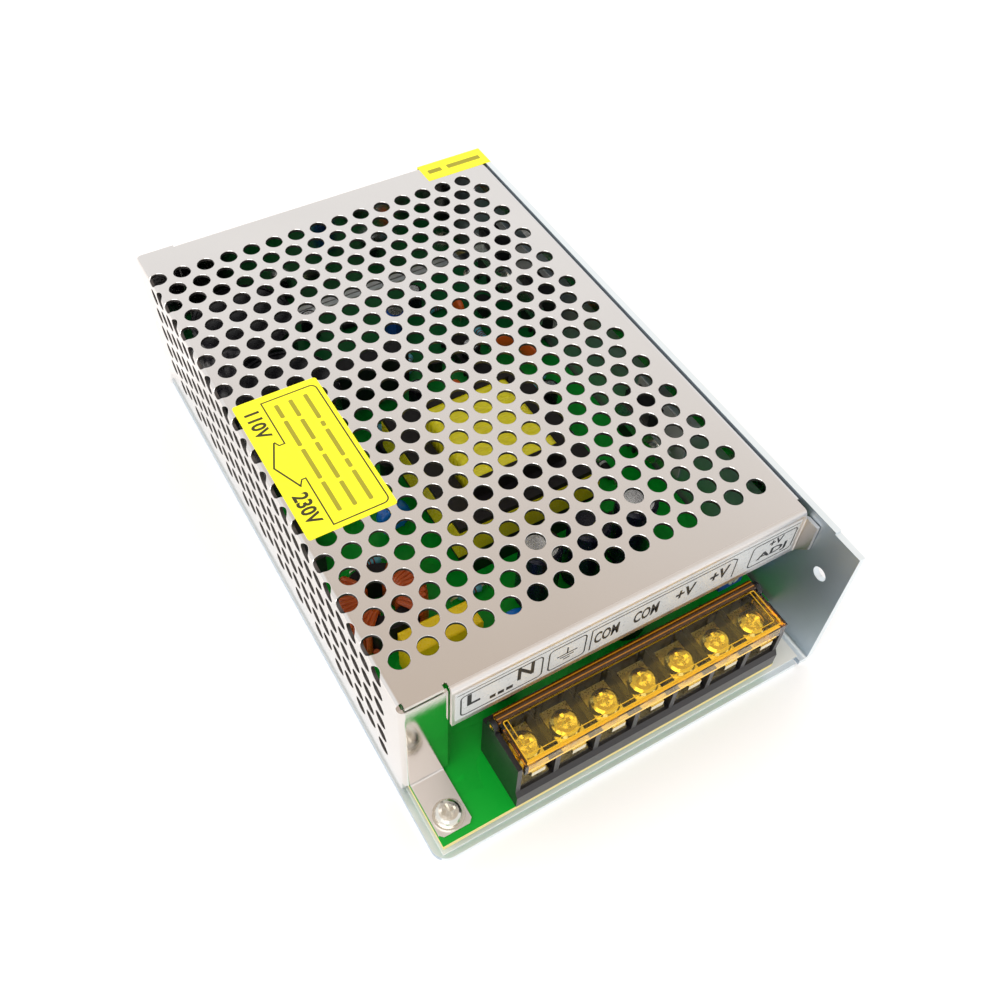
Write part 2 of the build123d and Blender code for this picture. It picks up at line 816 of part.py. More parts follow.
def transformer_winding():
    """The windings under their outer layer of tape."""
    _, y, _ = transformer_frame()
    reach = core_length / 2 - core_yoke - bobbin_flange
    outer_x, outer_z = coil_limits(coil_build)
    inner_x, inner_z = coil_limits(bobbin_t)
    body = block(outer_x, (y - reach, y + reach), outer_z)
    body = fillet(body.edges().filter_by(Axis.Y), coil_build / 3)
    return body - block(inner_x, (y - reach - 1, y + reach + 1), inner_z)


def transformer_tape():
    """The band of tape that holds the two halves of the core together."""
    x, y, z_limits = transformer_frame()
    z = (z_limits[0] + z_limits[1]) / 2
    outer = Box(core_width + 2 * tape_t, core_length + 2 * tape_t, tape_width)
    return Pos(x, y, z) * (outer - Box(core_width, core_length, tape_width))


def can(x, y, radius, height):
    """An electrolytic capacitor: a can with rounded shoulder, rolled groove and sleeved rim."""
    groove = radius * 0.06
    outline = [
        (0, 0),
        (radius - can_lip, 0),
        (radius, can_lip),
        (radius, 2 * can_lip),
        (radius - groove, 2.6 * can_lip),
        (radius, 3.2 * can_lip),
        (radius, height - can_lip),
        (radius - can_lip, height),
        (radius - 2 * can_lip, height),
        (radius - 2 * can_lip, height - can_lip / 2),
        (0, height - can_lip / 2),
    ]
    return turned(x, y, board_top, outline)


def disc_part(x, y, radius, thickness):
    """A round dipped part standing on two leads, seen face on from the front."""
    z = board_top + disc_lead + radius
    body = rod_y(x, (y - thickness / 2, y + thickness / 2), z, radius)
    body = fillet(body.edges(), thickness * 0.3)
    for side in (-1, 1):
        body += rod(x + side * lead_pitch / 2, y, (board_top, z), lead_r)
    return body


def film_capacitor():
    """The boxed interference suppression capacitor."""
    width, depth, height = film_size
    x = left + film_x
    y = front + film_y
    y_limits = (y - depth / 2, y + depth / 2)
    body = block((x - width / 2, x + width / 2), y_limits, (board_top, board_top + height))
    return fillet(body.edges().group_by(Axis.Z)[-1], can_lip)


def fuse():
    """A glass fuse with a metal cap on each end, lying on the board."""
    x = left + fuse_x
    y = front + fuse_y
    z = board_top + fuse_r
    half = fuse_length / 2
    body = rod_y(x, (y - half, y + half), z, fuse_r - fuse_waist)
    for side in (-1, 1):
        ends = sorted((y + side * half, y + side * (half - fuse_cap)))
        body += rod_y(x, ends, z, fuse_r)
    return body


def choke_base():
    """Height of the underside of the line choke's ring."""
    return board_top + choke_build


def line_choke_core():
    """The ring core of the line filter choke."""
    z = choke_base() + choke_h / 2
    ring = Cylinder(choke_r, choke_h) - Cylinder(choke_bore, choke_h)
    return Pos(left + choke_x, front + choke_y, z) * ring


def line_choke_windings():
    """Two windings on opposite sides of the ring."""
    z = choke_base() + choke_h / 2
    height = choke_h + 2 * choke_build
    windings = []
    for start in (-choke_sector / 2, 180 - choke_sector / 2):
        outer = Cylinder(choke_r + choke_build, height, arc_size=choke_sector)
        shape = Rot(0, 0, start) * (outer - Cylinder(choke_bore - choke_build, height))
        inner = Cylinder(choke_bore - choke_gap, height)
        shape -= Cylinder(choke_r + choke_gap, choke_h + 2 * choke_gap) - inner
        windings.append(Pos(left + choke_x, front + choke_y, z) * shape)
    return windings


def output_choke():
    """The sleeved drum choke of the output filter."""
    return turned(drum_x, front + drum_y, board_top, [
        (0, 0),
        (drum_r, 0),
        (drum_r, drum_h - can_lip),
        (drum_r - can_lip, drum_h),
        (0, drum_h),
    ])


def bridge_rectifier():
    """The flat rectifier standing on four leads."""
    width, depth, height = bridge_size
    y = back - bridge_y
    z = board_top + bridge_lead
    x_limits = (bridge_x - width / 2, bridge_x + width / 2)
    body = block(x_limits, (y - depth / 2, y + depth / 2), (z, z + height))
    for i in range(4):
        x = bridge_x + (i - 1.5) * width / 4
        body += rod(x, y, (board_top, z), lead_r)
    return body


def controller_chip():
    """The control chip on its two rows of legs."""
    width, length, height = chip_size
    y = back - chip_y
    z = board_top + chip_stand
    body = block((chip_x - width / 2, chip_x + width / 2), (y - length / 2, y + length / 2), (z, z + height))
    for i in range(chip_legs):
        leg_y = y + (i - (chip_legs - 1) / 2) * chip_leg_pitch
        for side in (-1, 1):
            ends = sorted((chip_x + side * width / 2, chip_x + side * (width / 2 + lead_r)))
            body += block(ends, (leg_y - lead_r, leg_y + lead_r), (board_top, z + height / 2))
    return body


def power_device(y):
    """A power device on the wall, its three leads down to the board."""
    x_back = wall_inner - pad_t
    z = board_top + device_lead
    half = device_width / 2
    body = block((x_back - device_t, x_back), (y - half, y + half), (z, z + device_h))
    for i in (-1, 0, 1):
        lead_y = y + i * device_lead_pitch
        x = x_back - device_t / 2
        body += block((x - lead_r, x + lead_r), (lead_y - lead_r, lead_y + lead_r), (board_top, z))
    return body


def clamp_bars():
    """Y limits of the transistor bar and the rectifier bar, and Y of the screw of each."""
    half = device_width / 2 + bar_over
    near, far = [back - y for y in transistor_y]
    rectifier = front + rectifier_y
    transistor_bar = (far - half, near + half)
    rectifier_bar = (rectifier - half - bar_screw_room, rectifier + half)
    return transistor_bar, rectifier_bar, (near + far) / 2, rectifier - half - bar_screw_room / 2


def clamp_screw_places():
    """Y and Z of the screws that pull the clamp bars to the wall."""
    return [(y, bar_z) for y in clamp_bars()[2:]]


def clamp_bar(index):
    """A steel bar that presses the power devices against the wall."""
    x = wall_inner - pad_t - device_t
    body = block((x - bar_t, x), clamp_bars()[index], (bar_z - bar_h / 2, bar_z + bar_h / 2))
    for y, z in clamp_screw_places():
        body -= rod_x((x - bar_t - 1, x + 1), y, z, screw_r + screw_gap)
    return body


def clamp_screws():
    """One screw through each clamp bar into the wall."""
    x = wall_inner - pad_t - device_t - bar_t
    screws = []
    for y, z in clamp_screw_places():
        screws.append(rod_x((x, right - screw_gap), y, z, screw_r) + rod_x((x - head_h, x), y, z, head_r))
    return screws


def thermal_pads():
    """Insulating pads between the power devices and the wall."""
    transistor_bar, rectifier_bar, *_ = clamp_bars()
    z = board_top + device_lead
    pads = []
    for limits in (transistor_bar, rectifier_bar):
        pad = block((wall_inner - pad_t, wall_inner), limits, (z - 1, z - 1 + pad_h))
        for y, place in clamp_screw_places():
            pad -= rod_x((wall_inner - 1, right), y, place, screw_r + screw_gap)
        pads.append(pad)
    return pads


def voltage_label():
    """The voltage sticker on the cover, beside the selector switch."""
    width, length = voltage_label_size
    x = skirt_outer + sheet_out + 0.3
    y_limits = (selector_y - length / 2, selector_y + length / 2)
    return block((x, x + width), y_limits, (cover_top, case_height))


def corner_sticker():
    """The small sticker over the rear edge, turned down over the rear flange."""
    width, length = corner_sticker_size
    x_limits = (right - width, right)
    y_limits = (rear_flange + label_t - length, rear_flange + label_t)
    sticker = block(x_limits, y_limits, (cover_top, case_height))
    return sticker + block(
        (right - width, flange_outer),
        (rear_flange, rear_flange + label_t),
        (case_height - corner_sticker_drop, case_height),
    )


def terminal_label():
    """The printed strip on the lip, above the terminals."""
    x_low = skirt_outer + corner_width + strip_label_margin
    x_limits = (x_low, flange_outer - sheet_out - strip_label_margin)
    z_low = cover_top - lip_height + strip_label_lift
    z_limits = (z_low, cover_top - sheet_out - strip_label_margin)
    return block(x_limits, (lip_face - label_t, lip_face), z_limits)


def solids_of(shape):
    """The separate solids of a piece or of a list of pieces."""
    pieces = shape if isinstance(shape, list) else [shape]
    return [solid for piece in pieces for solid in piece.solids()]


def all_pieces():
    """Every piece of the supply by name."""
    bulk_first = back - bulk_y
    output_line = front + output_y
    pieces = {
        "chassis": chassis(),
        "cover": cover(),
        "cover_side_screws": cover_side_screws(),
        "cover_tab_screw": cover_tab_screw(),
        "insulation_sheet": insulation_sheet(),
        "board_standoffs": board_standoffs(),
        "circuit_board": circuit_board(),
        "board_screws": board_screws(),
        "terminal_housing": terminal_housing(),
        "contact_plates": contact_plates(),
        "terminal_lid": terminal_lid(),
        "trimmer_body": trimmer_body(),
        "trimmer_rotor": trimmer_rotor(),
        "indicator_led": indicator_led(),
        "selector_body": selector_body(),
        "selector_slider": selector_slider(),
        "transformer_core": transformer_core(),
        "transformer_bobbin": transformer_bobbin(),
        "transformer_winding": transformer_winding(),
        "transformer_tape": transformer_tape(),
        "bulk_capacitor_1": can(left + bulk_x, bulk_first, bulk_r, bulk_h),
        "bulk_capacitor_2": can(left + bulk_x, bulk_first - 2 * bulk_r - bulk_gap, bulk_r, bulk_h),
        "start_capacitor": can(start_x, back - start_y, start_r, start_h),
        "suppression_capacitor": film_capacitor(),
        "thermistor": disc_part(thermistor_x, front + thermistor_y, thermistor_r, thermistor_t),
        "fuse": fuse(),
        "line_choke_core": line_choke_core(),
        "line_choke_windings": line_choke_windings(),
        "output_choke": output_choke(),
        "bridge_rectifier": bridge_rectifier(),
        "controller_chip": controller_chip(),
        "output_rectifier": power_device(front + rectifier_y),
        "transistor_clamp": clamp_bar(0),
        "rectifier_clamp": clamp_bar(1),
        "clamp_screws": clamp_screws(),
        "thermal_pads": thermal_pads(),
        "voltage_label": voltage_label(),
        "corner_sticker": corner_sticker(),
        "terminal_label": terminal_label(),
    }
    for i, x in enumerate(pole_x, 1):
        pieces[f"wire_clamp_{i}"] = wire_clamp(x)
        pieces[f"terminal_screw_{i}"] = terminal_screw(x)
    for i, x in enumerate(output_x, 1):
        pieces[f"output_capacitor_{i}"] = can(x, output_line, output_r, output_h)
    for i, (x, y) in enumerate(disc_spots, 1):
        pieces[f"y_capacitor_{i}"] = disc_part(x, front + y, disc_r, disc_t)
    for i, y in enumerate(transistor_y, 1):
        pieces[f"power_transistor_{i}"] = power_device(back - y)
    return pieces


os.makedirs("parts", exist_ok=True)
for name, piece in all_pieces().items():
    export_step(Compound(children=solids_of(piece)), f"parts/{name}.step")
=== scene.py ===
import math

import bmesh
import bpy
from mathutils import Matrix, Vector
from mathutils.geometry import delaunay_2d_cdt
from mathutils.kdtree import KDTree
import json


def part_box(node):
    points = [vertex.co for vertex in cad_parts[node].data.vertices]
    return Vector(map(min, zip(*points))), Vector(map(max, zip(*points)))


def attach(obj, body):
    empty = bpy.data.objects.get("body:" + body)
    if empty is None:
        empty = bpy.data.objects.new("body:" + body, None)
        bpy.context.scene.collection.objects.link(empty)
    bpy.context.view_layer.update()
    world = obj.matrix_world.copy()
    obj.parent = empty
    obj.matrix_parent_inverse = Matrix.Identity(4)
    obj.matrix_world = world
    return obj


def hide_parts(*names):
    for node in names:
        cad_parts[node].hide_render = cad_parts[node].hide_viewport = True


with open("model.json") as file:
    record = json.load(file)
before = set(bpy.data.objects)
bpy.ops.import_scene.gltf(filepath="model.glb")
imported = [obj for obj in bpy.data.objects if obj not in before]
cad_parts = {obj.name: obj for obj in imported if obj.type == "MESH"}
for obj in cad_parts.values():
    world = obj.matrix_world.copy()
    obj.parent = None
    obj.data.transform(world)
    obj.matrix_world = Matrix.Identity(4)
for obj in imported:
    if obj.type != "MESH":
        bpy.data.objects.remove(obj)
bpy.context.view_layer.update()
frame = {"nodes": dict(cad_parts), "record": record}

# Lengths below are millimetres of the row frame, and meshes are scaled to metres when made.
MM = 0.001


def node_box(node):
    """Lowest and highest corner of a CAD node, in millimetres."""
    low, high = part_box(node)
    return low / MM, high / MM


COVER_LOW, COVER_HIGH = node_box("cover")
LIP_LABEL_LOW, LIP_LABEL_HIGH = node_box("terminal_label")
LABEL_LOW, LABEL_HIGH = node_box("voltage_label")
STICKER_LOW, STICKER_HIGH = node_box("corner_sticker")

# Folded steel sheet of the cover
SHEET = 0.8
INSIDE = 0.4                              # inside bend radius
OUTSIDE = SHEET + INSIDE
ARC = (INSIDE + SHEET / 2) * math.pi / 2  # flat length that a bend uses
BEND_STEPS = 8
BEND_EDGE = 0.06                          # a line beside each bend keeps the flat shading flat
TOP = COVER_HIGH.z
LEFT = COVER_LOW.x
RIGHT = COVER_HIGH.x
BACK = COVER_HIGH.y
TAB_END = COVER_LOW.y
LIP_FACE = LIP_LABEL_HIGH.y
CORNER_FACE = LIP_FACE + 1.1              # the front corner plate lies behind the lip
REAR_FACE = BACK - SHEET
SKIRT_BOTTOM = 1.8
FLANGE_BOTTOM = COVER_LOW.z
LIP_HEIGHT = 14.2
LIP_BOTTOM = TOP - LIP_HEIGHT
LIP_RETURN = 3.3
LIP_SLOPE = 4.1
NOTCH = (0.95, 1.2)                       # beside the left end of the lip's bend
BEND_RELIEF = 1.4
SIDE_FLANGE = 8.0
FLANGE_RELIEF = 2.5
CORNER_WIDTH = 10.1
CORNER_DROP = 1.4
SEAM = 0.5
TONGUE_GAP = 0.2
SEAM_COVER = 0.9                          # how far the rear corner plate reaches behind the flange
SKIRT_CORNER = 3.4
PLATE_BOTTOM = 7.5                        # fold of the screw tab
TAB_X = (LEFT + 1.3, LEFT + 9.0)
TAB_CORNER = 0.9
SCREW_HOLE = 1.55
TAB_SCREW = (LEFT + 5.15, -73.2)          # X and Y
SIDE_SCREWS = ((-45.5, 37.88), (59.5, 37.88))  # Y and Z

# Bar over the hinge of the lid
LID_BAR_REACH = 0.75
LID_BAR_WIDTH = 1.7
LID_BAR_RISE = 0.25
LID_BAR_DROP = 0.7
LID_END = 1.3                             # from the end of the housing to the end of the trim

# Small parts on the board: X, Y and turn in degrees
RESISTORS = (
    (31.5, 44.0, 90), (36.0, 21.0, 30), (28.0, 18.0, 0), (33.0, -2.0, 90), (30.0, 4.0, 90),
    (12.0, 20.5, 0), (-2.0, 21.0, 90), (-14.0, -29.0, 0), (4.0, -28.0, 0), (14.0, -28.5, 0),
    (-20.0, 4.5, 90), (-31.0, -10.5, 0), (26.0, 60.0, 0), (8.0, 43.5, 60), (-7.0, 26.0, 0),
)
DIODES = (
    (21.5, 22.0, 90), (35.0, -14.0, 90), (-12.0, 20.0, 90), (27.0, -27.0, 0), (35.5, 8.0, 90),
    (1.0, 66.0, 0),
)
DISCS = (
    (38.6, 30.0, 20), (34.6, 36.5, 70), (30.0, 55.0, 0), (-28.0, 5.0, 40), (14.0, 26.5, 0), (-3.0, -48.0, 0),
)
SMALL_CANS = ((24.0, 37.0), (34.5, 13.5), (4.0, 30.0), (20.2, 64.0), (-10.0, 68.0), (26.0, -50.0))
TRANSISTORS = ((13.0, 38.0, 0), (36.5, 52.0, 90), (27.5, 8.0, 90), (-14.0, 12.0, 0), (2.0, -53.0, 0))
RESISTOR_ENDS = ((3.2, 0.4), (3.05, 0.95), (2.6, 1.25), (2.0, 1.2), (1.7, 1.0))  # along, radius
RESISTOR_BANDS = (-1.3, -0.6, 0.1, 1.1)
DIODE_PROFILE = ((-2.6, 1.0), (-2.45, 1.3), (2.45, 1.3), (2.6, 1.0))
DISC_PROFILE = ((-1.2, 0.6), (-1.1, 1.8), (-0.7, 2.8), (0.0, 3.1), (0.7, 2.8), (1.1, 1.8), (1.2, 0.6))
CAN_PROFILE = ((0.0, 2.4), (0.3, 2.6), (0.9, 2.6), (1.1, 2.4), (1.3, 2.6), (7.2, 2.6), (7.5, 2.35))
LEAD = 0.3                                # radius of a wire lead
LEAD_SIDES = 6
SIDES = 24                                # of the larger round bodies
UP = Vector((0.0, 0.0, 1.0))

# Punched holes
PITCH = 6.1
ROW_PITCH = 5.31
ROWS = 24
COLUMNS = 15
FIRST_HOLE = (LEFT + 1.95, 67.9)
HOLE = 2.125
HOLE_SIDES = 32
PUNCH_ROUND = 0.08                        # rounding of a punched edge
SKIRT_HOLES = 5
SKIRT_DROP = 4.95
BEND_HOLE_DROP = 2.3
MERGE = 1e-4                              # points of the flat sheet nearer than this are one

# Finishes and print
BOARD_SHADE = (14.0, 46.0)                # where painted shade begins and reaches its darkest towards the rear of the board
CAN_RIM = 1.1                             # width of the sleeve folded over a can's rim
CAN_TOP = 1.2                             # height of the part of a can that its disc's finish covers
PRINT = 0.02                              # how far print stands up
PRINT_DEPTH = 1.5 * PRINT                 # print on a sticker starts a little inside it
MITRE_LIMIT = 0.4

# Sockets of a Mix node that mixes colours
MIX_FACTOR = 0
MIX_FIRST = 6
MIX_SECOND = 7
MIX_RESULT = 2


def linear(red, green, blue, alpha=1.0):
    """A shader colour from display values of 0 to 255."""
    def channel(value):
        value /= 255
        return value / 12.92 if value <= 0.04045 else ((value + 0.055) / 1.055) ** 2.4
    return (channel(red), channel(green), channel(blue), alpha)


def shade(color, factor):
    """A colour made lighter or darker."""
    return tuple(min(1.0, c * factor) for c in color[:3]) + (1.0,)


class Finish:
    """One material and the shader nodes that are added to it."""

    def __init__(self, name):
        self.material = bpy.data.materials.new(name)
        self.material.use_nodes = True
        self.tree = self.material.node_tree
        self.bsdf = self.tree.nodes["Principled BSDF"]
        self.place = self.add("ShaderNodeTexCoord").outputs["Object"]

    def add(self, kind, inputs=None, **settings):
        """A node with its settings, and its inputs fed from constants or other nodes."""
        node = self.tree.nodes.new(kind)
        for key, value in settings.items():
            setattr(node, key, value)
        for key, value in (inputs or {}).items():
            self.feed(node.inputs[key], value)
        return node

    def feed(self, socket, value):
        """A constant or a link into a socket."""
        if isinstance(value, bpy.types.NodeSocket):
            self.tree.links.new(value, socket)
        else:
            socket.default_value = value

    def set(self, **inputs):
        """Inputs of the surface shader, with spaces as underscores."""
        for key, value in inputs.items():
            self.feed(self.bsdf.inputs[key.replace("_", " ")], value)

    def noise(self, size, detail=3.0, stretch=(1, 1, 1), distortion=0.0):
        """Noise with features of about a size in millimetres, stretched along the axes."""
        scale = [1 / (size * MM * s) for s in stretch]
        place = self.add("ShaderNodeMapping", {"Vector": self.place, "Scale": scale})
        return self.add("ShaderNodeTexNoise", {
            "Vector": place.outputs[0], "Scale": 1.0, "Detail": detail, "Distortion": distortion,
        }).outputs["Fac"]

    def spread(self, value, low, high, start=0.3, end=0.7):
        """A value moved from one range to another."""
        return self.add("ShaderNodeMapRange", {
            "Value": value, "From Min": start, "From Max": end, "To Min": low, "To Max": high,
        }).outputs[0]

    def mix(self, factor, a, b):
        """A colour between two."""
        node = self.add("ShaderNodeMix", data_type="RGBA")
        self.feed(node.inputs[MIX_FACTOR], factor)
        self.feed(node.inputs[MIX_FIRST], a)
        self.feed(node.inputs[MIX_SECOND], b)
        return node.outputs[MIX_RESULT]

    def math(self, operation, a, b=0.0, c=0.0):
        """A sum, product or comparison."""
        return self.add("ShaderNodeMath", {0: a, 1: b, 2: c}, operation=operation).outputs[0]

    def axis(self, name, source=None):
        """One coordinate of the place or of another vector, in metres."""
        return self.add("ShaderNodeSeparateXYZ", {0: source or self.place}).outputs[name]

    def normal(self):
        """The direction of the surface."""
        return self.add("ShaderNodeNewGeometry").outputs["Normal"]

    def absorb(self, color, density):
        """Colour that deepens with the thickness that light goes through."""
        volume = self.add("ShaderNodeVolumeAbsorption", {"Color": color, "Density": density})
        output = self.tree.nodes["Material Output"]
        self.tree.links.new(volume.outputs[0], output.inputs["Volume"])

    def bump(self, height, depth):
        """Relief of a depth in millimetres."""
        node = self.add("ShaderNodeBump", {"Height": height, "Distance": depth * MM, "Strength": 1.0})
        self.set(Normal=node.outputs[0])


def surface(name, color, roughness, metallic=0.0, change=0.1, blotch=6.0, grain=0.35, relief=0.01,
            stretch=(1, 1, 1), rough_change=0.06, coat=0.0):
    """A finish whose colour and gloss drift slowly, with a fine grain."""
    finish = Finish(name)
    slow = finish.noise(blotch, 3.0)
    fine = finish.noise(grain, 4.0, stretch)
    finish.set(
        Base_Color=finish.mix(slow, shade(color, 1 - change), shade(color, 1 + change)),
        Roughness=finish.spread(fine, roughness - rough_change, roughness + rough_change),
        Metallic=metallic,
        Coat_Weight=coat,
    )
    finish.bump(fine, relief)
    return finish


def rolled_metal(name, color, roughness, line=0.05, length=60.0, relief=0.002):
    """Rolled or brushed sheet: long fine lines along Y."""
    stretch = (1.0, length, 1.0)
    finish = surface(name, color, roughness, 1.0, 0.03, 20.0, line, relief, stretch, roughness * 0.2)
    finish.set(Anisotropic=0.2)
    return finish


def cover_finish():
    """Rolled steel: satin on the top, mirror-like on the front corner plate, duller on the lip and tab."""
    finish = rolled_metal("cover_steel", linear(227, 223, 220), 0.13)
    fine = finish.noise(0.05, 4.0, (1.0, 60.0, 1.0))
    x, y = finish.axis("X"), finish.axis("Y")
    front = finish.math("LESS_THAN", y, (CORNER_FACE + SHEET / 4) * MM)
    corner = finish.math("LESS_THAN", x, (LEFT + CORNER_WIDTH) * MM)
    upright = finish.math("LESS_THAN", finish.math("ABSOLUTE", finish.axis("Z", finish.normal())), 0.5)
    plate = finish.math("MULTIPLY", finish.math("MULTIPLY", front, corner), upright)
    duller, smoother = 0.26, 0.85
    rough = finish.math("MULTIPLY_ADD", front, duller, finish.spread(fine, 0.11, 0.16))
    rough = finish.math("MULTIPLY", rough, finish.math("MULTIPLY_ADD", plate, -smoother, 1.0))
    finish.set(Roughness=rough)
    return finish


def chassis_finish():
    """Brushed aluminium, its side wall duller than the base and painted a darker bluish grey as shade."""
    finish = rolled_metal("chassis_aluminium", linear(222, 229, 234), 0.42, 0.08, 50.0, 0.004)
    wall = finish.math("GREATER_THAN", finish.math("ABSOLUTE", finish.axis("X", finish.normal())), 0.7)
    drift = finish.noise(14.0, 2.0)
    base = finish.mix(drift, linear(220, 228, 232), linear(232, 238, 241))
    # painted shade: faces across X, such as the side wall, get a darker bluish grey than the base
    side = finish.mix(drift, linear(178, 192, 204), linear(196, 208, 218))
    finish.set(
        Base_Color=finish.mix(wall, base, side),
        Metallic=finish.math("MULTIPLY_ADD", wall, 0.25, 0.6),
    )
    return finish


def hinge_bar_finish():
    """Deep amber with brighter lines along the bar."""
    finish = surface("lid_hinge_bar", linear(60, 34, 6), 0.16, change=0.25, blotch=1.5, coat=0.5)
    line_pitch = 1.1 * MM
    turn = finish.math("MULTIPLY", finish.axis("Y"), 2 * math.pi / line_pitch)
    line = finish.spread(finish.math("SINE", turn), 0.0, 0.8, 0.55, 0.95)
    drift = finish.noise(3.0, 2.0)
    dark = finish.mix(drift, linear(44, 24, 4), linear(76, 44, 8))
    finish.set(Base_Color=finish.mix(line, dark, linear(196, 128, 24)))
    return finish


def clear_plastic(name, color, roughness):
    """A clear tinted moulding with faint flow lines."""
    finish = Finish(name)
    flow = finish.noise(5.0, 2.0, (3, 1, 1), 0.6)
    finish.set(
        Base_Color=finish.mix(flow, shade(color, 0.94), shade(color, 1.04)),
        Roughness=finish.spread(flow, roughness, roughness * 1.6),
        Transmission_Weight=1.0,
        IOR=1.46,
    )
    finish.bump(flow, 0.004)
    return finish


def board_finish():
    """Solder resist over faint tracks, with painted shade darkening it towards the rear, and the cream glass
    cloth showing on the sawn edges."""
    finish = Finish("board_green")
    green = linear(0, 160, 42)
    cloth = finish.noise(0.4, 2.0)
    patch = finish.noise(9.0, 2.0, distortion=0.4)
    track = finish.spread(patch, 0.0, 1.0, 0.49, 0.51)
    top = finish.mix(track, shade(green, 0.92), green)
    top = finish.mix(finish.spread(cloth, 0.0, 0.12), top, shade(green, 1.25))
    # painted shade: the top turns towards a dark teal along Y, for the shade under the rear parts
    rear = finish.spread(finish.axis("Y"), 0.0, 0.8, BOARD_SHADE[0] * MM, BOARD_SHADE[1] * MM)
    top = finish.mix(rear, top, linear(10, 66, 46))
    side = finish.math("LESS_THAN", finish.math("ABSOLUTE", finish.axis("Z", finish.normal())), 0.5)
    finish.set(
        Base_Color=finish.mix(side, top, linear(226, 208, 132)),
        Roughness=finish.spread(cloth, 0.3, 0.42),
        Specular_IOR_Level=0.25,
    )
    finish.bump(track, 0.02)
    return finish


def can_finish(node, sleeve, bare_top):
    """A can: printed sleeve on the side and over the rim, with a painted sheen lighter on its left side, and
    a bare or sleeved disc inside the rim.
    """
    finish = Finish(node)
    low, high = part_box(node)
    centre = (low + high) / 2
    flat = finish.add("ShaderNodeCombineXYZ", {0: finish.axis("X"), 1: finish.axis("Y"), 2: 0.0}).outputs[0]
    away = finish.add("ShaderNodeVectorMath", {0: flat, 1: (centre.x, centre.y, 0.0)}, operation="DISTANCE")
    radius = (high.x - low.x) / 2 - CAN_RIM * MM
    inside = finish.math("LESS_THAN", away.outputs["Value"], radius)
    top = finish.math("GREATER_THAN", finish.axis("Z"), high.z - CAN_TOP * MM)
    disc = finish.math("MULTIPLY", inside, top)
    fine = finish.noise(0.3, 3.0)
    # painted sheen: the sleeve is lighter on the left of each can, where the light falls
    sheen_side = finish.math("LESS_THAN", finish.axis("X"), centre.x - (high.x - low.x) * 0.22)
    side = finish.mix(sheen_side, sleeve, shade(sleeve, 1.8))
    finish.set(
        Base_Color=finish.mix(disc, side, linear(222, 224, 228) if bare_top else shade(sleeve, 0.7)),
        Roughness=finish.spread(fine, 0.2, 0.3),
        Specular_IOR_Level=0.35,
    )
    if bare_top:
        finish.set(Metallic=disc)
    finish.bump(fine, 0.006)
    return finish


def label_finish(name, color, roughness=0.35):
    """Printed film with the orange-peel of its adhesive."""
    return surface(name, color, roughness, 0.0, 0.02, 9.0, 0.8, 0.006, rough_change=0.05)


def wound_finish(name, color, turn, axis, roughness=0.35, relief=0.12):
    """Layers wound side by side, as wire or tape edges, a turn of a width in millimetres along an axis."""
    finish = Finish(name)
    along = finish.math("MULTIPLY", finish.axis(axis), 2 * math.pi / (turn * MM))
    ridge = finish.math("ADD", finish.math("MULTIPLY", finish.math("SINE", along), 0.5), 0.5)
    slow = finish.noise(3.0, 3.0)
    finish.set(
        Base_Color=finish.mix(slow, shade(color, 0.75), shade(color, 1.15)),
        Roughness=finish.spread(ridge, roughness, roughness + 0.15, 0.0, 1.0),
    )
    finish.bump(ridge, relief)
    return finish


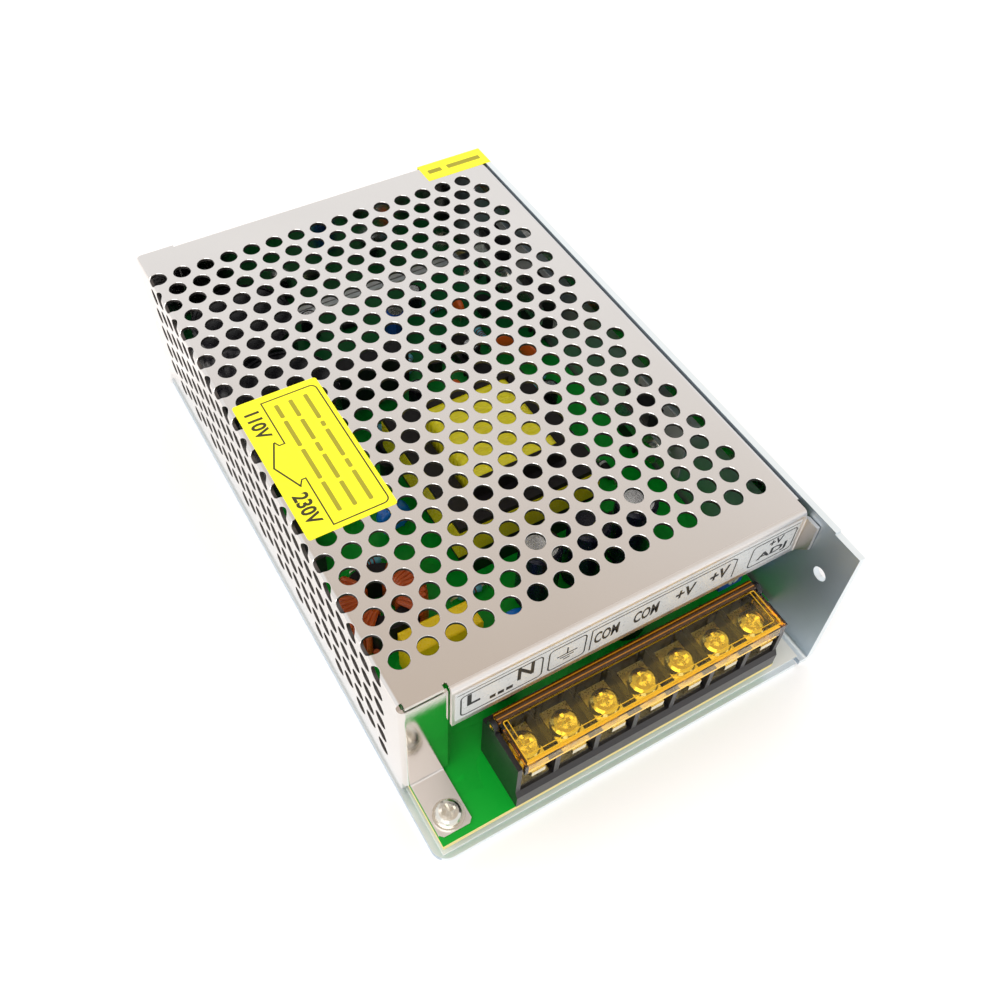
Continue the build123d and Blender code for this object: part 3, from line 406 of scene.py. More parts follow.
def make_finishes():
    """The finish of each material slot of the record."""
    steel = cover_finish()
    aluminium = chassis_finish()
    screw = surface("screw_steel", linear(224, 222, 214), 0.2, 1.0, 0.08, 2.0, 0.25, 0.006)
    tinned = surface("tinned_plate", linear(232, 224, 196), 0.3, 1.0, 0.08, 1.5, 0.3)
    amber = clear_plastic("lid_amber", linear(255, 246, 196), 0.02)
    amber.absorb((1.0, 0.85, 0.1, 1.0), 900.0)
    finishes = {
        "chassis_aluminium": aluminium,
        "cover_steel": steel,
        "screw_steel": screw,
        "insulation": surface("insulation", linear(228, 228, 222), 0.4, change=0.04),
        "brass_parts": surface("brass_parts", linear(214, 180, 104), 0.28, 1.0, 0.08, 2.0),
        "board_green": board_finish(),
        "terminal_black": surface("terminal_black", linear(25, 23, 26), 0.34, 0.0, 0.15, 4.0, 0.15, 0.02),
        "tinned_plate": tinned,
        "lid_amber": amber,
        "trimmer_blue": surface("trimmer_blue", linear(38, 88, 190), 0.35, grain=0.2),
        "trimmer_white": surface("trimmer_white", linear(232, 232, 226), 0.4, grain=0.2, change=0.05),
        "led_green": clear_plastic("led_green", linear(120, 235, 130), 0.05),
        "switch_black": surface("switch_black", linear(36, 36, 38), 0.45, grain=0.2),
        "switch_red": surface("switch_red", linear(206, 40, 32), 0.4, grain=0.2),
        "ferrite": surface("ferrite", linear(26, 23, 26), 0.45, 0.0, 0.2, 2.0, 0.15, 0.03),
        "bobbin_black": surface("bobbin_black", linear(24, 20, 18), 0.4, grain=0.2),
        "winding_yellow": wound_finish("winding_yellow", linear(250, 232, 36), 1.8, "Y", 0.2, 0.08),
        "tape_yellow": surface("tape_yellow", linear(226, 214, 40), 0.25, change=0.12, blotch=4.0),
        "sleeve_black": surface("sleeve_black", linear(16, 15, 20), 0.25, grain=0.3),
        "sleeve_blue": surface("sleeve_blue", linear(18, 40, 92), 0.25, grain=0.3),
        "film_yellow": surface("film_yellow", linear(255, 212, 8), 0.3, grain=0.3),
        "disc_blue": surface("disc_blue", linear(20, 116, 214), 0.22, relief=0.04, grain=0.8, coat=0.5),
        "thermistor_dark": surface("thermistor_dark", linear(30, 38, 32), 0.4, relief=0.04, grain=0.7),
        "fuse_glass": clear_plastic("fuse_glass", linear(240, 246, 244), 0.03),
        "copper_wire": wound_finish("copper_wire", linear(190, 84, 34), 0.8, "Z", 0.2),
        "epoxy_black": surface("epoxy_black", linear(22, 22, 25), 0.42, grain=0.12, relief=0.02),
        "clamp_steel": rolled_metal("clamp_steel", linear(214, 214, 210), 0.28, 0.08, 40.0),
        "pad_grey": surface("pad_grey", linear(168, 170, 168), 0.6, grain=0.5, relief=0.03),
        "label_yellow": label_finish("label_yellow", linear(255, 246, 20)),
        "strip_silver": label_finish("strip_silver", linear(208, 210, 210), 0.3),
    }
    for slot in ("ferrite", "bobbin_black", "sleeve_black", "epoxy_black", "tape_yellow"):
        finishes[slot].set(Specular_IOR_Level=0.3)
    return finishes


def new_piece(name, mesh_data, finish, body, replaces=(), smooth=None):
    """Turns a bmesh in millimetres into a piece that rides on a body."""
    bmesh.ops.recalc_face_normals(mesh_data, faces=mesh_data.faces)
    mesh_data.transform(Matrix.Scale(MM, 4))
    mesh = bpy.data.meshes.new(name)
    mesh_data.to_mesh(mesh)
    mesh_data.free()
    piece = bpy.data.objects.new(name, mesh)
    bpy.context.scene.collection.objects.link(piece)
    mesh.materials.append(finish.material)
    if smooth is not None:
        mesh.polygons.foreach_set("use_smooth", [True] * len(mesh.polygons))
        mesh.set_sharp_from_angle(angle=math.radians(smooth))
    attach(piece, body)
    if replaces:
        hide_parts(*replaces)
    return piece


def sheet_outline():
    """The flat cover before it is bent, seen from outside, as points round its edge, anticlockwise."""
    left, right = LEFT + OUTSIDE, RIGHT - OUTSIDE
    lip, rear = LIP_FACE + OUTSIDE, REAR_FACE - OUTSIDE
    skirt = left - ARC
    front, back = CORNER_FACE + OUTSIDE, BACK - OUTSIDE
    bottom = skirt - (TOP - OUTSIDE - SKIRT_BOTTOM)
    plate_top = skirt - (CORNER_DROP - OUTSIDE)
    plate_bottom = skirt - (TOP - OUTSIDE - PLATE_BOTTOM)
    corner_end = LEFT + CORNER_WIDTH
    front_end = front - ARC - (corner_end - left)
    back_end = back + ARC + (corner_end + SEAM_COVER - left)
    lip_start = corner_end + SEAM / 2
    rear_start = corner_end - SEAM / 2
    lip_end = lip - ARC - (TOP - OUTSIDE - LIP_BOTTOM)
    return_top = lip - ARC - OUTSIDE
    return_tip = right + ARC + LIP_RETURN - INSIDE
    rear_end = rear + ARC + (TOP - OUTSIDE - FLANGE_BOTTOM)
    side_end = right + ARC + SIDE_FLANGE - OUTSIDE
    side_low, side_high = lip + FLANGE_RELIEF, rear - OUTSIDE - FLANGE_RELIEF
    tab = tuple(front - ARC - (x - left) for x in TAB_X)
    tab_end = plate_bottom - ARC - (CORNER_FACE - TAB_END - INSIDE)
    tongue = rear + OUTSIDE - TONGUE_GAP
    points = [
        (lip_start, lip_end), (lip_start, lip + NOTCH[1]), (lip_start - NOTCH[0], lip + NOTCH[1]),
        (lip_start - NOTCH[0], lip), (left, lip), (left, lip + BEND_RELIEF), (skirt, lip + BEND_RELIEF),
        (skirt, front), (plate_top, front), (plate_top, front_end), (plate_bottom, front_end),
        (plate_bottom, tab[1]), (tab_end + TAB_CORNER, tab[1]), (tab_end, tab[1] + TAB_CORNER),
        (tab_end, tab[0] - TAB_CORNER), (tab_end + TAB_CORNER, tab[0]), (plate_bottom, tab[0]),
        (plate_bottom, front),
    ]
    quarter = HOLE_SIDES // 4
    for i in range(quarter + 1):
        angle = math.pi / 2 * i / quarter
        points.append((
            bottom + SKIRT_CORNER * (1 - math.sin(angle)),
            front + SKIRT_CORNER * (1 - math.cos(angle)),
        ))
    points += [
        (bottom, back_end), (plate_top, back_end), (plate_top, back), (skirt, back), (skirt, tongue),
        (corner_end - SEAM, tongue), (corner_end - SEAM, rear), (rear_start, rear), (rear_start, rear_end),
        (RIGHT, rear_end), (RIGHT, rear), (right, rear), (right, side_high), (side_end, side_high),
        (side_end, side_low), (right, side_low), (right, return_top), (return_tip, return_top),
        (return_tip, lip_end + LIP_SLOPE), (right + ARC / 2, lip_end),
    ]
    return points[::-1]


def sheet_holes():
    """Each hole of the flat cover: its place and radius."""
    skirt = LEFT + OUTSIDE - ARC
    holes = []
    for row in range(ROWS):
        odd = row % 2
        v = FIRST_HOLE[1] - row * ROW_PITCH
        holes += [(FIRST_HOLE[0] + odd * PITCH / 2 + i * PITCH, v, HOLE) for i in range(COLUMNS)]
        first = skirt - (SKIRT_DROP - OUTSIDE) - odd * PITCH / 2
        holes += [(first - i * PITCH, v, HOLE) for i in range(SKIRT_HOLES)]
        if odd:
            holes.append((skirt - (BEND_HOLE_DROP - OUTSIDE), v, HOLE))
    tab_fold = skirt - (TOP - OUTSIDE - PLATE_BOTTOM)
    along = tab_fold - ARC - (CORNER_FACE - TAB_SCREW[1] - INSIDE)
    across = CORNER_FACE + OUTSIDE - ARC - (TAB_SCREW[0] - LEFT - OUTSIDE)
    holes.append((along, across, SCREW_HOLE))
    for y, z in SIDE_SCREWS:
        holes.append((RIGHT - OUTSIDE + ARC + (TOP - OUTSIDE - z), y, SCREW_HOLE))
    return holes


def sheet_folds():
    """Each bend: the axis across it, its side, where it starts, whether it turns up, where it
    lies along the other axis, and which flat points move with it."""
    left, right = LEFT + OUTSIDE, RIGHT - OUTSIDE
    lip, rear = LIP_FACE + OUTSIDE, REAR_FACE - OUTSIDE
    front, back = CORNER_FACE + OUTSIDE, BACK - OUTSIDE
    skirt = left - ARC
    tab = skirt - (TOP - OUTSIDE - PLATE_BOTTOM)
    far = 200.0
    return [
        (0, -1, tab, True, (-far, front), lambda u, v: v < front - ARC and u < skirt),
        (1, -1, front, False, (-far, skirt), lambda u, v: u < skirt),
        (1, 1, back, False, (-far, skirt), lambda u, v: u < skirt),
        (0, 1, right, True, (-far, lip - ARC - 1), lambda u, v: v < lip),
        (1, -1, lip, False, (LEFT + CORNER_WIDTH - 1, far), lambda u, v: u > LEFT + OUTSIDE + 8),
        (1, 1, rear, False, (LEFT + CORNER_WIDTH - SEAM, far), lambda u, v: u > LEFT + CORNER_WIDTH - SEAM),
        (0, 1, right, False, (lip + 1, rear - 1), lambda u, v: lip + 1 < v < rear - 1),
        (0, -1, left, False, (lip + 1, rear + OUTSIDE + 2), lambda u, v: u < left),
    ]


def bend(point, flat, folds):
    """Where a point of the flat sheet goes when the sheet is bent."""
    place = Vector(point)
    for axis, side, start, up, _, moves in folds:
        along = side * (place[axis] - start)
        if along <= 0 or not moves(*flat):
            continue
        turn = 1 if up else -1
        centre = INSIDE if up else -OUTSIDE
        arm = (centre - place.z) if up else (place.z - centre)
        angle = min(along / ARC, 1.0) * math.pi / 2
        rest = max(along - ARC, 0.0)
        place[axis] = start + side * arm * math.sin(angle)
        place.z = centre - turn * arm * math.cos(angle) + turn * rest
    return place


def fold_lines(folds):
    """The two ends of each line along which a bend divides the flat sheet."""
    steps = [-BEND_EDGE] + [ARC * i / BEND_STEPS for i in range(BEND_STEPS + 1)] + [ARC + BEND_EDGE]
    lines = []
    for axis, side, start, _, limits, _ in folds:
        for step in steps:
            ends = [[limit, limit] for limit in limits]
            for end in ends:
                end[axis] = start + side * step
            lines.append([Vector(end) for end in ends])
    return lines


def divide_sheet(holes, folds):
    """The flat sheet as points and triangles, cut out round its holes and divided at its bends."""
    outline = sheet_outline()
    points, faces, lines = [Vector(p) for p in outline], [list(range(len(outline)))], []
    for u, v, radius in holes:
        start = len(points)
        reach = radius + PUNCH_ROUND
        for i in range(HOLE_SIDES):
            angle = 2 * math.pi * i / HOLE_SIDES
            points.append(Vector((u + reach * math.cos(angle), v + reach * math.sin(angle))))
        faces.append(list(range(start, len(points))))
    for ends in fold_lines(folds):
        points += ends
        lines.append((len(points) - 2, len(points) - 1))
    flat, _, triangles, _, _, owners = delaunay_2d_cdt(points, lines, faces, 0, MERGE, True)
    return flat, [t for t, owner in zip(triangles, owners) if list(owner) == [0]]


def punched_rims(flat, borders, holes):
    """For each point round a hole, its place below the rounding of the punched edge."""
    tree = KDTree(len(holes))
    for i, (u, v, _) in enumerate(holes):
        tree.insert((u, v, 0), i)
    tree.balance()
    rims = {}
    for index in sorted({i for border in borders for i in border}):
        centre, hole, distance = tree.find((*flat[index], 0))
        radius = holes[hole][2]
        if distance < radius + 1.2 * PUNCH_ROUND:
            towards = (flat[index] - centre.xy) * (radius / (radius + PUNCH_ROUND))
            rims[index] = centre.xy + towards
    return rims


def make_cover(finish, edge_finish):
    """The perforated cover: cut flat, pierced, then bent up. Its punched edges are rougher."""
    folds = sheet_folds()
    holes = sheet_holes()
    flat, triangles = divide_sheet(holes, folds)
    edges = {(a, b) for t in triangles for a, b in zip(t, t[1:] + t[:1])}
    borders = sorted((a, b) for a, b in edges if (b, a) not in edges)
    rims = punched_rims(flat, borders, holes)
    mesh_data = bmesh.new()
    corners = {}

    def corner(index, level):
        """A vertex at the outer face, the foot of the punched rounding or the inner face."""
        if (index, level) not in corners:
            u, v = flat[index] if level == 0 or index not in rims else rims[index]
            depth = (0.0, PUNCH_ROUND, SHEET)[level]
            place = bend((u, v, -depth), flat[index], folds)
            corners[index, level] = mesh_data.verts.new(place + Vector((0, 0, TOP)))
        return corners[index, level]

    for a, b, c in triangles:
        mesh_data.faces.new([corner(i, 0) for i in (a, b, c)])
        mesh_data.faces.new([corner(i, 2) for i in (c, b, a)])
    for a, b in borders:
        if a in rims and b in rims:
            mesh_data.faces.new([corner(a, 1), corner(b, 1), corner(b, 0), corner(a, 0)])
            wall = mesh_data.faces.new([corner(a, 2), corner(b, 2), corner(b, 1), corner(a, 1)])
            wall.material_index = 1
        else:
            mesh_data.faces.new([corner(a, 2), corner(b, 2), corner(b, 0), corner(a, 0)])
    piece = new_piece("cover_sheet", mesh_data, finish, "case", ["cover"], 32)
    piece.data.materials.append(edge_finish.material)


def add_stroke(mesh_data, path, width, place, thick, closed=False):
    """A line of even width along a path, mitred at its corners, as a thin solid.
    place turns (across, up, out) into the row frame."""
    count = len(path)
    sides = []
    for i, point in enumerate(path):
        before = Vector(path[i - 1] if i or closed else path[0])
        after = Vector(path[(i + 1) % count] if i < count - 1 or closed else path[-1])
        here = Vector(point)
        first = (here - before).normalized() if (here - before).length else (after - here).normalized()
        second = (after - here).normalized() if (after - here).length else first
        normal = Vector((-first.y - second.y, first.x + second.x)).normalized()
        reach = width / 2 / max(MITRE_LIMIT, normal.dot(Vector((-first.y, first.x))))
        sides.append((here + normal * reach, here - normal * reach))
    rings = [[mesh_data.verts.new(place(*p, out)) for p, out in
              ((a, 0.0), (a, thick), (b, thick), (b, 0.0))] for a, b in sides]
    for i in range(count if closed else count - 1):
        one, two = rings[i], rings[(i + 1) % count]
        for k in range(4):
            mesh_data.faces.new([one[k], one[(k + 1) % 4], two[(k + 1) % 4], two[k]])
    if not closed:
        mesh_data.faces.new(rings[0])
        mesh_data.faces.new(rings[-1][::-1])


def rounded(low, high, radius, steps=5):
    """A rectangle with rounded corners, as points."""
    points = []
    for x, y, start in ((high[0] - radius, high[1] - radius, 0), (low[0] + radius, high[1] - radius, 90),
                        (low[0] + radius, low[1] + radius, 180), (high[0] - radius, low[1] + radius, 270)):
        for i in range(steps + 1):
            angle = math.radians(start + 90 * i / steps)
            points.append((x + radius * math.cos(angle), y + radius * math.sin(angle)))
    return points


def add_text(mesh_data, body, height, width, matrix, thick, bold):
    """Letters of a height and an overall width, centred, as a thin solid on a plane."""
    curve = bpy.data.curves.new("letters", "FONT")
    curve.body = body
    curve.resolution_u = 3
    curve.offset = bold
    curve.extrude = 0.5
    holder = bpy.data.objects.new("letters", curve)
    bpy.context.scene.collection.objects.link(holder)
    bpy.context.view_layer.update()
    mesh = bpy.data.meshes.new_from_object(holder.evaluated_get(bpy.context.evaluated_depsgraph_get()))
    xs = [v.co.x for v in mesh.vertices]
    ys = [v.co.y for v in mesh.vertices]
    middle = Vector(((min(xs) + max(xs)) / 2, (min(ys) + max(ys)) / 2, -0.5))
    scale = Matrix.Diagonal((width / (max(xs) - min(xs)), height / (max(ys) - min(ys)), thick, 1))
    mesh.transform(matrix @ scale @ Matrix.Translation(-middle))
    mesh_data.from_mesh(mesh)
    bpy.data.objects.remove(holder)
    bpy.data.curves.remove(curve)
    bpy.data.meshes.remove(mesh)


def add_slab(mesh_data, outline, place, low, high):
    """A flat solid from its outline. place turns (across, up, out) into the row frame."""
    rings = [[mesh_data.verts.new(place(x, y, out)) for x, y in outline] for out in (low, high)]
    mesh_data.faces.new(rings[0])
    mesh_data.faces.new(rings[1][::-1])
    count = len(outline)
    for i in range(count):
        after = (i + 1) % count
        mesh_data.faces.new([rings[0][i], rings[0][after], rings[1][after], rings[1][i]])


def level_place(x, y, out):
    """A place on a level face."""
    return Vector((x, y, out))


def cross_place(y, z, out):
    """A place on a face across X."""
    return Vector((out, y, z))


def voltage_sheet(finish):
    """The voltage sticker with its rounded corners."""
    mesh_data = bmesh.new()
    outline = rounded((LABEL_LOW.x, LABEL_LOW.y), (LABEL_HIGH.x, LABEL_HIGH.y), 0.7)
    add_slab(mesh_data, outline, level_place, LABEL_LOW.z, LABEL_HIGH.z - PRINT)
    new_piece("voltage_sheet", mesh_data, finish, "case", ["voltage_label"])


def corner_sheet(finish):
    """The corner sticker, folded down over the rear edge."""
    mesh_data = bmesh.new()
    thick = STICKER_HIGH.z - TOP
    low, high = STICKER_LOW, STICKER_HIGH
    top = high.z - PRINT
    parts = (((low.y, TOP), (high.y, TOP), (high.y, top), (low.y, top)),
             ((high.y - thick, low.z), (high.y, low.z), (high.y, TOP), (high.y - thick, TOP)))
    for outline in parts:
        add_slab(mesh_data, outline, cross_place, low.x, high.x)
    bmesh.ops.remove_doubles(mesh_data, verts=mesh_data.verts, dist=thick / 10)
    new_piece("corner_sheet", mesh_data, finish, "case", ["corner_sticker"])


def on_label(x, y, out):
    """A place on the voltage sticker, X from its left edge."""
    return Vector((LABEL_LOW.x + x, y, LABEL_HIGH.z - PRINT_DEPTH + out))


def voltage_print(finish):
    """The frame, the switch arrow and the two voltages of the sticker."""
    mesh_data = bmesh.new()
    inner, outer = 6.2, 19.1
    front, back = -20.2, 17.6
    steps = 5
    corner = rounded((inner, front), (outer, back), 1.4, steps)
    path = [(inner - 1.9, 5.8), (inner - 1.3, 4.5), (inner, 4.5), (inner, back)]
    path += corner[steps::-1] + corner[:-steps - 2:-1]
    path += [(inner, front), (inner, -6.4), (inner - 0.9, -6.4), (inner - 1.7, -7.7)]
    add_stroke(mesh_data, path, 0.32, on_label, PRINT_DEPTH)
    add_stroke(mesh_data, [(4.2, 5.7), (1.4, -0.9), (4.5, -8.1)], 0.4, on_label, PRINT_DEPTH)
    for body, y, length in (("110V", 11.9, 8.2), ("230V", -13.9, 8.6)):
        turn = Matrix.Translation(on_label(3.2, y, 0.0)) @ Matrix.Rotation(-math.pi / 2, 4, "Z")
        add_text(mesh_data, body, 3.5, length, turn, PRINT_DEPTH, 0.03)
    new_piece("voltage_print", mesh_data, finish, "case")


def small_print(finish):
    """The sticker's sentences as bars: for each line its X, and where its words start and end."""
    mesh_data = bmesh.new()
    lines = (
        (15.9, ((15.7, 7.6), (6.6, 5.0), (4.0, -4.6), (-5.6, -8.2), (-9.2, -18.0))),
        (12.3, ((15.7, 10.2), (9.2, 2.6), (1.6, -1.2), (-2.2, -9.6), (-10.6, -17.8))),
        (8.9, ((15.7, 11.4), (10.4, 2.2), (1.2, -8.0), (-9.0, -17.6))),
    )
    for x, words in lines:
        for start, end in words:
            bar = rounded((x - 0.5, end), (x + 0.5, start), 0.3, 2)
            add_slab(mesh_data, bar, on_label, 0.0, PRINT_DEPTH)
    new_piece("small_print", mesh_data, finish, "case")


def on_lip(x, z, out):
    """A place on the printed strip of the lip, X from its left end."""
    return Vector((LIP_LABEL_LOW.x + x, LIP_LABEL_LOW.y + PRINT / 2 - out, z))


def lip_print(finish):
    """Boxes and terminal marks of the printed strip on the lip."""
    mesh_data = bmesh.new()
    low, high = LIP_LABEL_LOW.z, LIP_LABEL_HIGH.z
    width = LIP_LABEL_HIGH.x - LIP_LABEL_LOW.x
    base, head = low + 1.0, high - 1.9
    add_stroke(mesh_data, [(0.4, high - 0.7), (width - 0.4, high - 0.7)], 0.22, on_lip, PRINT)
    for start, end in ((1.2, 19.4), (20.9, 29.5), (71.3, 83.2)):
        add_stroke(mesh_data, rounded((start, base), (end, head), 1.0), 0.34, on_lip, PRINT, True)
    open_box = [(30.8, base), (30.8, head), (65.9, head), (67.1, head - 1.0), (67.1, base)]
    add_stroke(mesh_data, open_box, 0.32, on_lip, PRINT)
    earth_x, earth_z = 25.2, (base + head) / 2
    add_stroke(mesh_data, [(earth_x, earth_z), (earth_x, earth_z + 2.2)], 0.36, on_lip, PRINT)
    for i, half in enumerate((2.4, 1.6, 0.8)):
        z = earth_z - 0.9 * i
        add_stroke(mesh_data, [(earth_x - half, z), (earth_x + half, z)], 0.36, on_lip, PRINT)
    marks = (
        ("L", 4.0, 35.4, 4.3, 2.9), ("N", 15.6, 35.4, 4.6, 3.8), ("COM", 34.6, 34.0, 4.3, 6.0),
        ("COM", 44.3, 34.0, 4.3, 6.2), ("+V", 54.2, 34.3, 4.2, 5.0), ("+V", 63.0, 34.4, 4.2, 5.0),
        ("+V", 77.8, 36.2, 2.5, 3.8), ("ADJ", 77.4, 32.6, 3.1, 8.2),
    )
    upright = Matrix.Rotation(math.pi / 2, 4, "X")
    for body, x, z, height, length in marks:
        matrix = Matrix.Translation(on_lip(x, z, 0.0)) @ upright
        add_text(mesh_data, body, height, length, matrix, PRINT, 0.028)
    for start, end in ((7.6, 8.9), (9.4, 10.8), (11.3, 12.8)):
        add_slab(mesh_data, ((start, 31.5), (end, 31.5), (end, 32.7), (start, 32.7)), on_lip, 0.0, PRINT)
    new_piece("lip_print", mesh_data, finish, "case")


def sticker_print(finish):
    """Plain bars on the corner sticker in place of its words."""
    mesh_data = bmesh.new()
    base = STICKER_HIGH.z - PRINT_DEPTH
    y = (STICKER_LOW.y + REAR_FACE) / 2
    for start, end in ((1.6, 5.6), (7.4, 17.6)):
        outline = rounded((STICKER_LOW.x + start, y - 0.8), (STICKER_LOW.x + end, y + 0.8), 0.3, 2)
        add_slab(mesh_data, outline, level_place, base, base + PRINT_DEPTH)
    new_piece("sticker_print", mesh_data, finish, "case")


def close_rings(mesh_data, rings):
    """Walls between rings of vertices, and a face over each end."""
    for one, two in zip(rings, rings[1:]):
        sides = len(one)
        for k in range(sides):
            mesh_data.faces.new([one[k], one[(k + 1) % sides], two[(k + 1) % sides], two[k]])
    mesh_data.faces.new(rings[0][::-1])
    mesh_data.faces.new(rings[-1])


def ring_of(mesh_data, centre, side, other, radius, sides):
    """Vertices on a circle."""
    angles = [2 * math.pi * k / sides for k in range(sides)]
    return [mesh_data.verts.new(centre + radius * (side * math.cos(a) + other * math.sin(a))) for a in angles]


def add_tube(mesh_data, path, radius, sides=8):
    """A round tube along a smooth path of points, closed at both ends."""
    rings = []
    side = None
    for i, point in enumerate(path):
        ahead = (path[min(i + 1, len(path) - 1)] - path[max(i - 1, 0)]).normalized()
        if side is None:
            side = ahead.orthogonal().normalized()
        side = (side - ahead * side.dot(ahead)).normalized()
        rings.append(ring_of(mesh_data, point, side, ahead.cross(side), radius, sides))
    close_rings(mesh_data, rings)


def turned_body(mesh_data, centre, axis, profile, sides=14):
    """A solid of revolution from places along an axis and radii."""
    side = axis.orthogonal().normalized()
    other = axis.cross(side)
    rings = [
        ring_of(mesh_data, centre + axis * along, side, other, radius, sides)
        for along, radius in profile
    ]
    close_rings(mesh_data, rings)


def flat_axis(turn):
    """A direction in the plane of the board."""
    return Vector((math.cos(math.radians(turn)), math.sin(math.radians(turn)), 0.0))


def add_leads(mesh_data, centre, axis, reach, board):
    """The two wires of a lying part, bent down into the board."""
    for way in (-1, 1):
        out = centre + axis * way * reach
        path = [centre + axis * way * (reach - 1.2), out, out + axis * way * 0.4 - UP * 0.4]
        path.append(Vector((path[-1].x, path[-1].y, board - 0.1)))
        add_tube(mesh_data, path, LEAD, LEAD_SIDES)


def lying_parts(bodies, board):
    """Resistors with their colour bands, and diodes with their band."""
    for x, y, turn in RESISTORS:
        centre, axis = Vector((x, y, board + 1.7)), flat_axis(turn)
        profile = [(-a, r) for a, r in RESISTOR_ENDS] + [(a, r) for a, r in reversed(RESISTOR_ENDS)]
        turned_body(bodies["resistors"], centre, axis, profile)
        for along in RESISTOR_BANDS:
            turned_body(bodies["resistor_bands"], centre + axis * along, axis, ((0, 1.03), (0.35, 1.03)))
        add_leads(bodies["small_leads"], centre, axis, 4.4, board)
    for x, y, turn in DIODES:
        centre, axis = Vector((x, y, board + 1.6)), flat_axis(turn)
        turned_body(bodies["diodes"], centre, axis, DIODE_PROFILE)
        turned_body(bodies["diode_bands"], centre + axis * 1.4, axis, ((0, 1.33), (0.7, 1.33)))
        add_leads(bodies["small_leads"], centre, axis, 3.8, board)


def upright_parts(bodies, board):
    """Ceramic discs, small cans and transistors."""
    for x, y, turn in DISCS:
        centre, axis = Vector((x, y, board + 4.0)), flat_axis(turn)
        turned_body(bodies["ceramic_discs"], centre, axis, DISC_PROFILE, SIDES)
        across = axis.cross(UP)
        for way in (-1, 1):
            foot = centre + across * way * 1.6
            path = [foot - UP * 2.4, Vector((foot.x, foot.y, board - 0.1))]
            add_tube(bodies["small_leads"], path, LEAD, LEAD_SIDES)
    for x, y in SMALL_CANS:
        centre = Vector((x, y, board))
        turned_body(bodies["small_cans"], centre, UP, CAN_PROFILE, SIDES)
        turned_body(bodies["small_can_tops"], centre, UP, ((7.5, 1.9), (7.56, 1.85)), SIDES)
    angles = [math.radians(a) for a in range(-30, 211, 20)]
    outline = [(2.3 * math.cos(a), 2.3 * math.sin(a)) for a in angles]
    for x, y, turn in TRANSISTORS:
        axis = flat_axis(turn)
        across = axis.cross(UP)

        def place(u, v, out):
            return Vector((x, y, out)) + axis * u + across * v

        add_slab(bodies["small_transistors"], outline, place, board + 1.8, board + 6.4)
        for way in (-1, 0, 1):
            foot = Vector((x, y, board)) + axis * way * 1.2
            add_tube(bodies["small_leads"], [foot + UP * 2.0, foot - UP * 0.1], LEAD, LEAD_SIDES)


def small_parts(finishes):
    """Resistors, diodes, ceramic discs, small cans and transistors between the large parts."""
    board = node_box("circuit_board")[1].z
    looks = {
        "resistors": (surface("resistor_blue", linear(92, 170, 190), 0.4, grain=0.3), "disc_blue"),
        "resistor_bands": (surface("band_brown", linear(120, 44, 18), 0.4, grain=0.3), "copper_wire"),
        "diodes": (finishes["epoxy_black"], "epoxy_black"),
        "diode_bands": (surface("band_silver", linear(206, 208, 210), 0.35, grain=0.3), "tinned_plate"),
        "ceramic_discs": (
            surface("disc_orange", linear(222, 96, 26), 0.35, grain=0.5, relief=0.03), "film_yellow",
        ),
        "small_cans": (finishes["sleeve_black"], "sleeve_black"),
        "small_can_tops": (surface("can_top", linear(214, 216, 220), 0.25, 1.0), "tinned_plate"),
        "small_transistors": (finishes["epoxy_black"], "epoxy_black"),
        "small_leads": (finishes["tinned_plate"], "tinned_plate"),
    }
    bodies = {name: bmesh.new() for name in looks}
    lying_parts(bodies, board)
    upright_parts(bodies, board)
    for name, (finish, slot) in looks.items():
        new_piece(name, bodies[name], finish, "case", smooth=40)


def choke_wire(finish):
    """Two wires wound round the ring core, turn beside turn."""
    mesh_data = bmesh.new()
    low, high = node_box("line_choke_core")
    centre = (low + high) / 2
    outer = (high.x - low.x) / 2
    bore = 5.0
    wire = 0.75
    half_high = (high.z - low.z) / 2
    grow = wire + 0.1
    loop = rounded((bore - grow, -half_high - grow), (outer + grow, half_high + grow), 1.2, 3)
    turns, spread = 13, math.radians(112)
    steps = turns * len(loop)
    for middle in (0.0, math.pi):
        path = []
        for i in range(steps):
            radius, z = loop[i % len(loop)]
            angle = middle - spread / 2 + spread * i / steps
            path.append(centre + Vector((radius * math.cos(angle), radius * math.sin(angle), z)))
        add_tube(mesh_data, path, wire)
    new_piece("choke_wire", mesh_data, finish, "case", ["line_choke_windings"], 60)


def lid_trim(rim_finish, bar_finish):
    """The moulded rim lines on the lid, and the thick bar over its hinge."""
    low, high = node_box("terminal_lid")
    housing_low, housing_high = node_box("terminal_housing")
    left, right = housing_low.x + LID_END, housing_high.x - LID_END
    mesh_data = bmesh.new()

    def on_lid(x, y, out):
        return Vector((x, y, high.z + out))

    for inset, width in ((0.9, 0.22), (1.9, 0.16)):
        path = rounded((left + inset, low.y + inset), (right - inset, high.y - 1.9), 0.3, 2)
        add_stroke(mesh_data, path, width, on_lid, 0.12, True)
    new_piece("lid_rim", mesh_data, rim_finish, "lid")
    mesh_data = bmesh.new()
    rear = high.y + LID_BAR_REACH
    front = high.y - LID_BAR_WIDTH
    top = high.z + LID_BAR_RISE
    bottom = high.z - LID_BAR_DROP
    outline = [(front, high.z), (front + 0.15, top), (rear - 0.2, top), (rear, top - 0.2),
               (rear, bottom), (high.y, bottom), (high.y, high.z)]
    add_slab(mesh_data, outline, cross_place, left, right)
    new_piece("lid_hinge_bar", mesh_data, bar_finish, "lid")


def soften(node, width):
    """Rounds the sharp edges of a CAD node for the light to catch."""
    piece = frame["nodes"][node]
    weld = piece.modifiers.new("weld", "WELD")
    weld.merge_threshold = 2e-6
    bevel = piece.modifiers.new("bevel", "BEVEL")
    bevel.width = width * MM
    bevel.segments = 2
    bevel.limit_method = "ANGLE"
    bevel.angle_limit = math.radians(35)


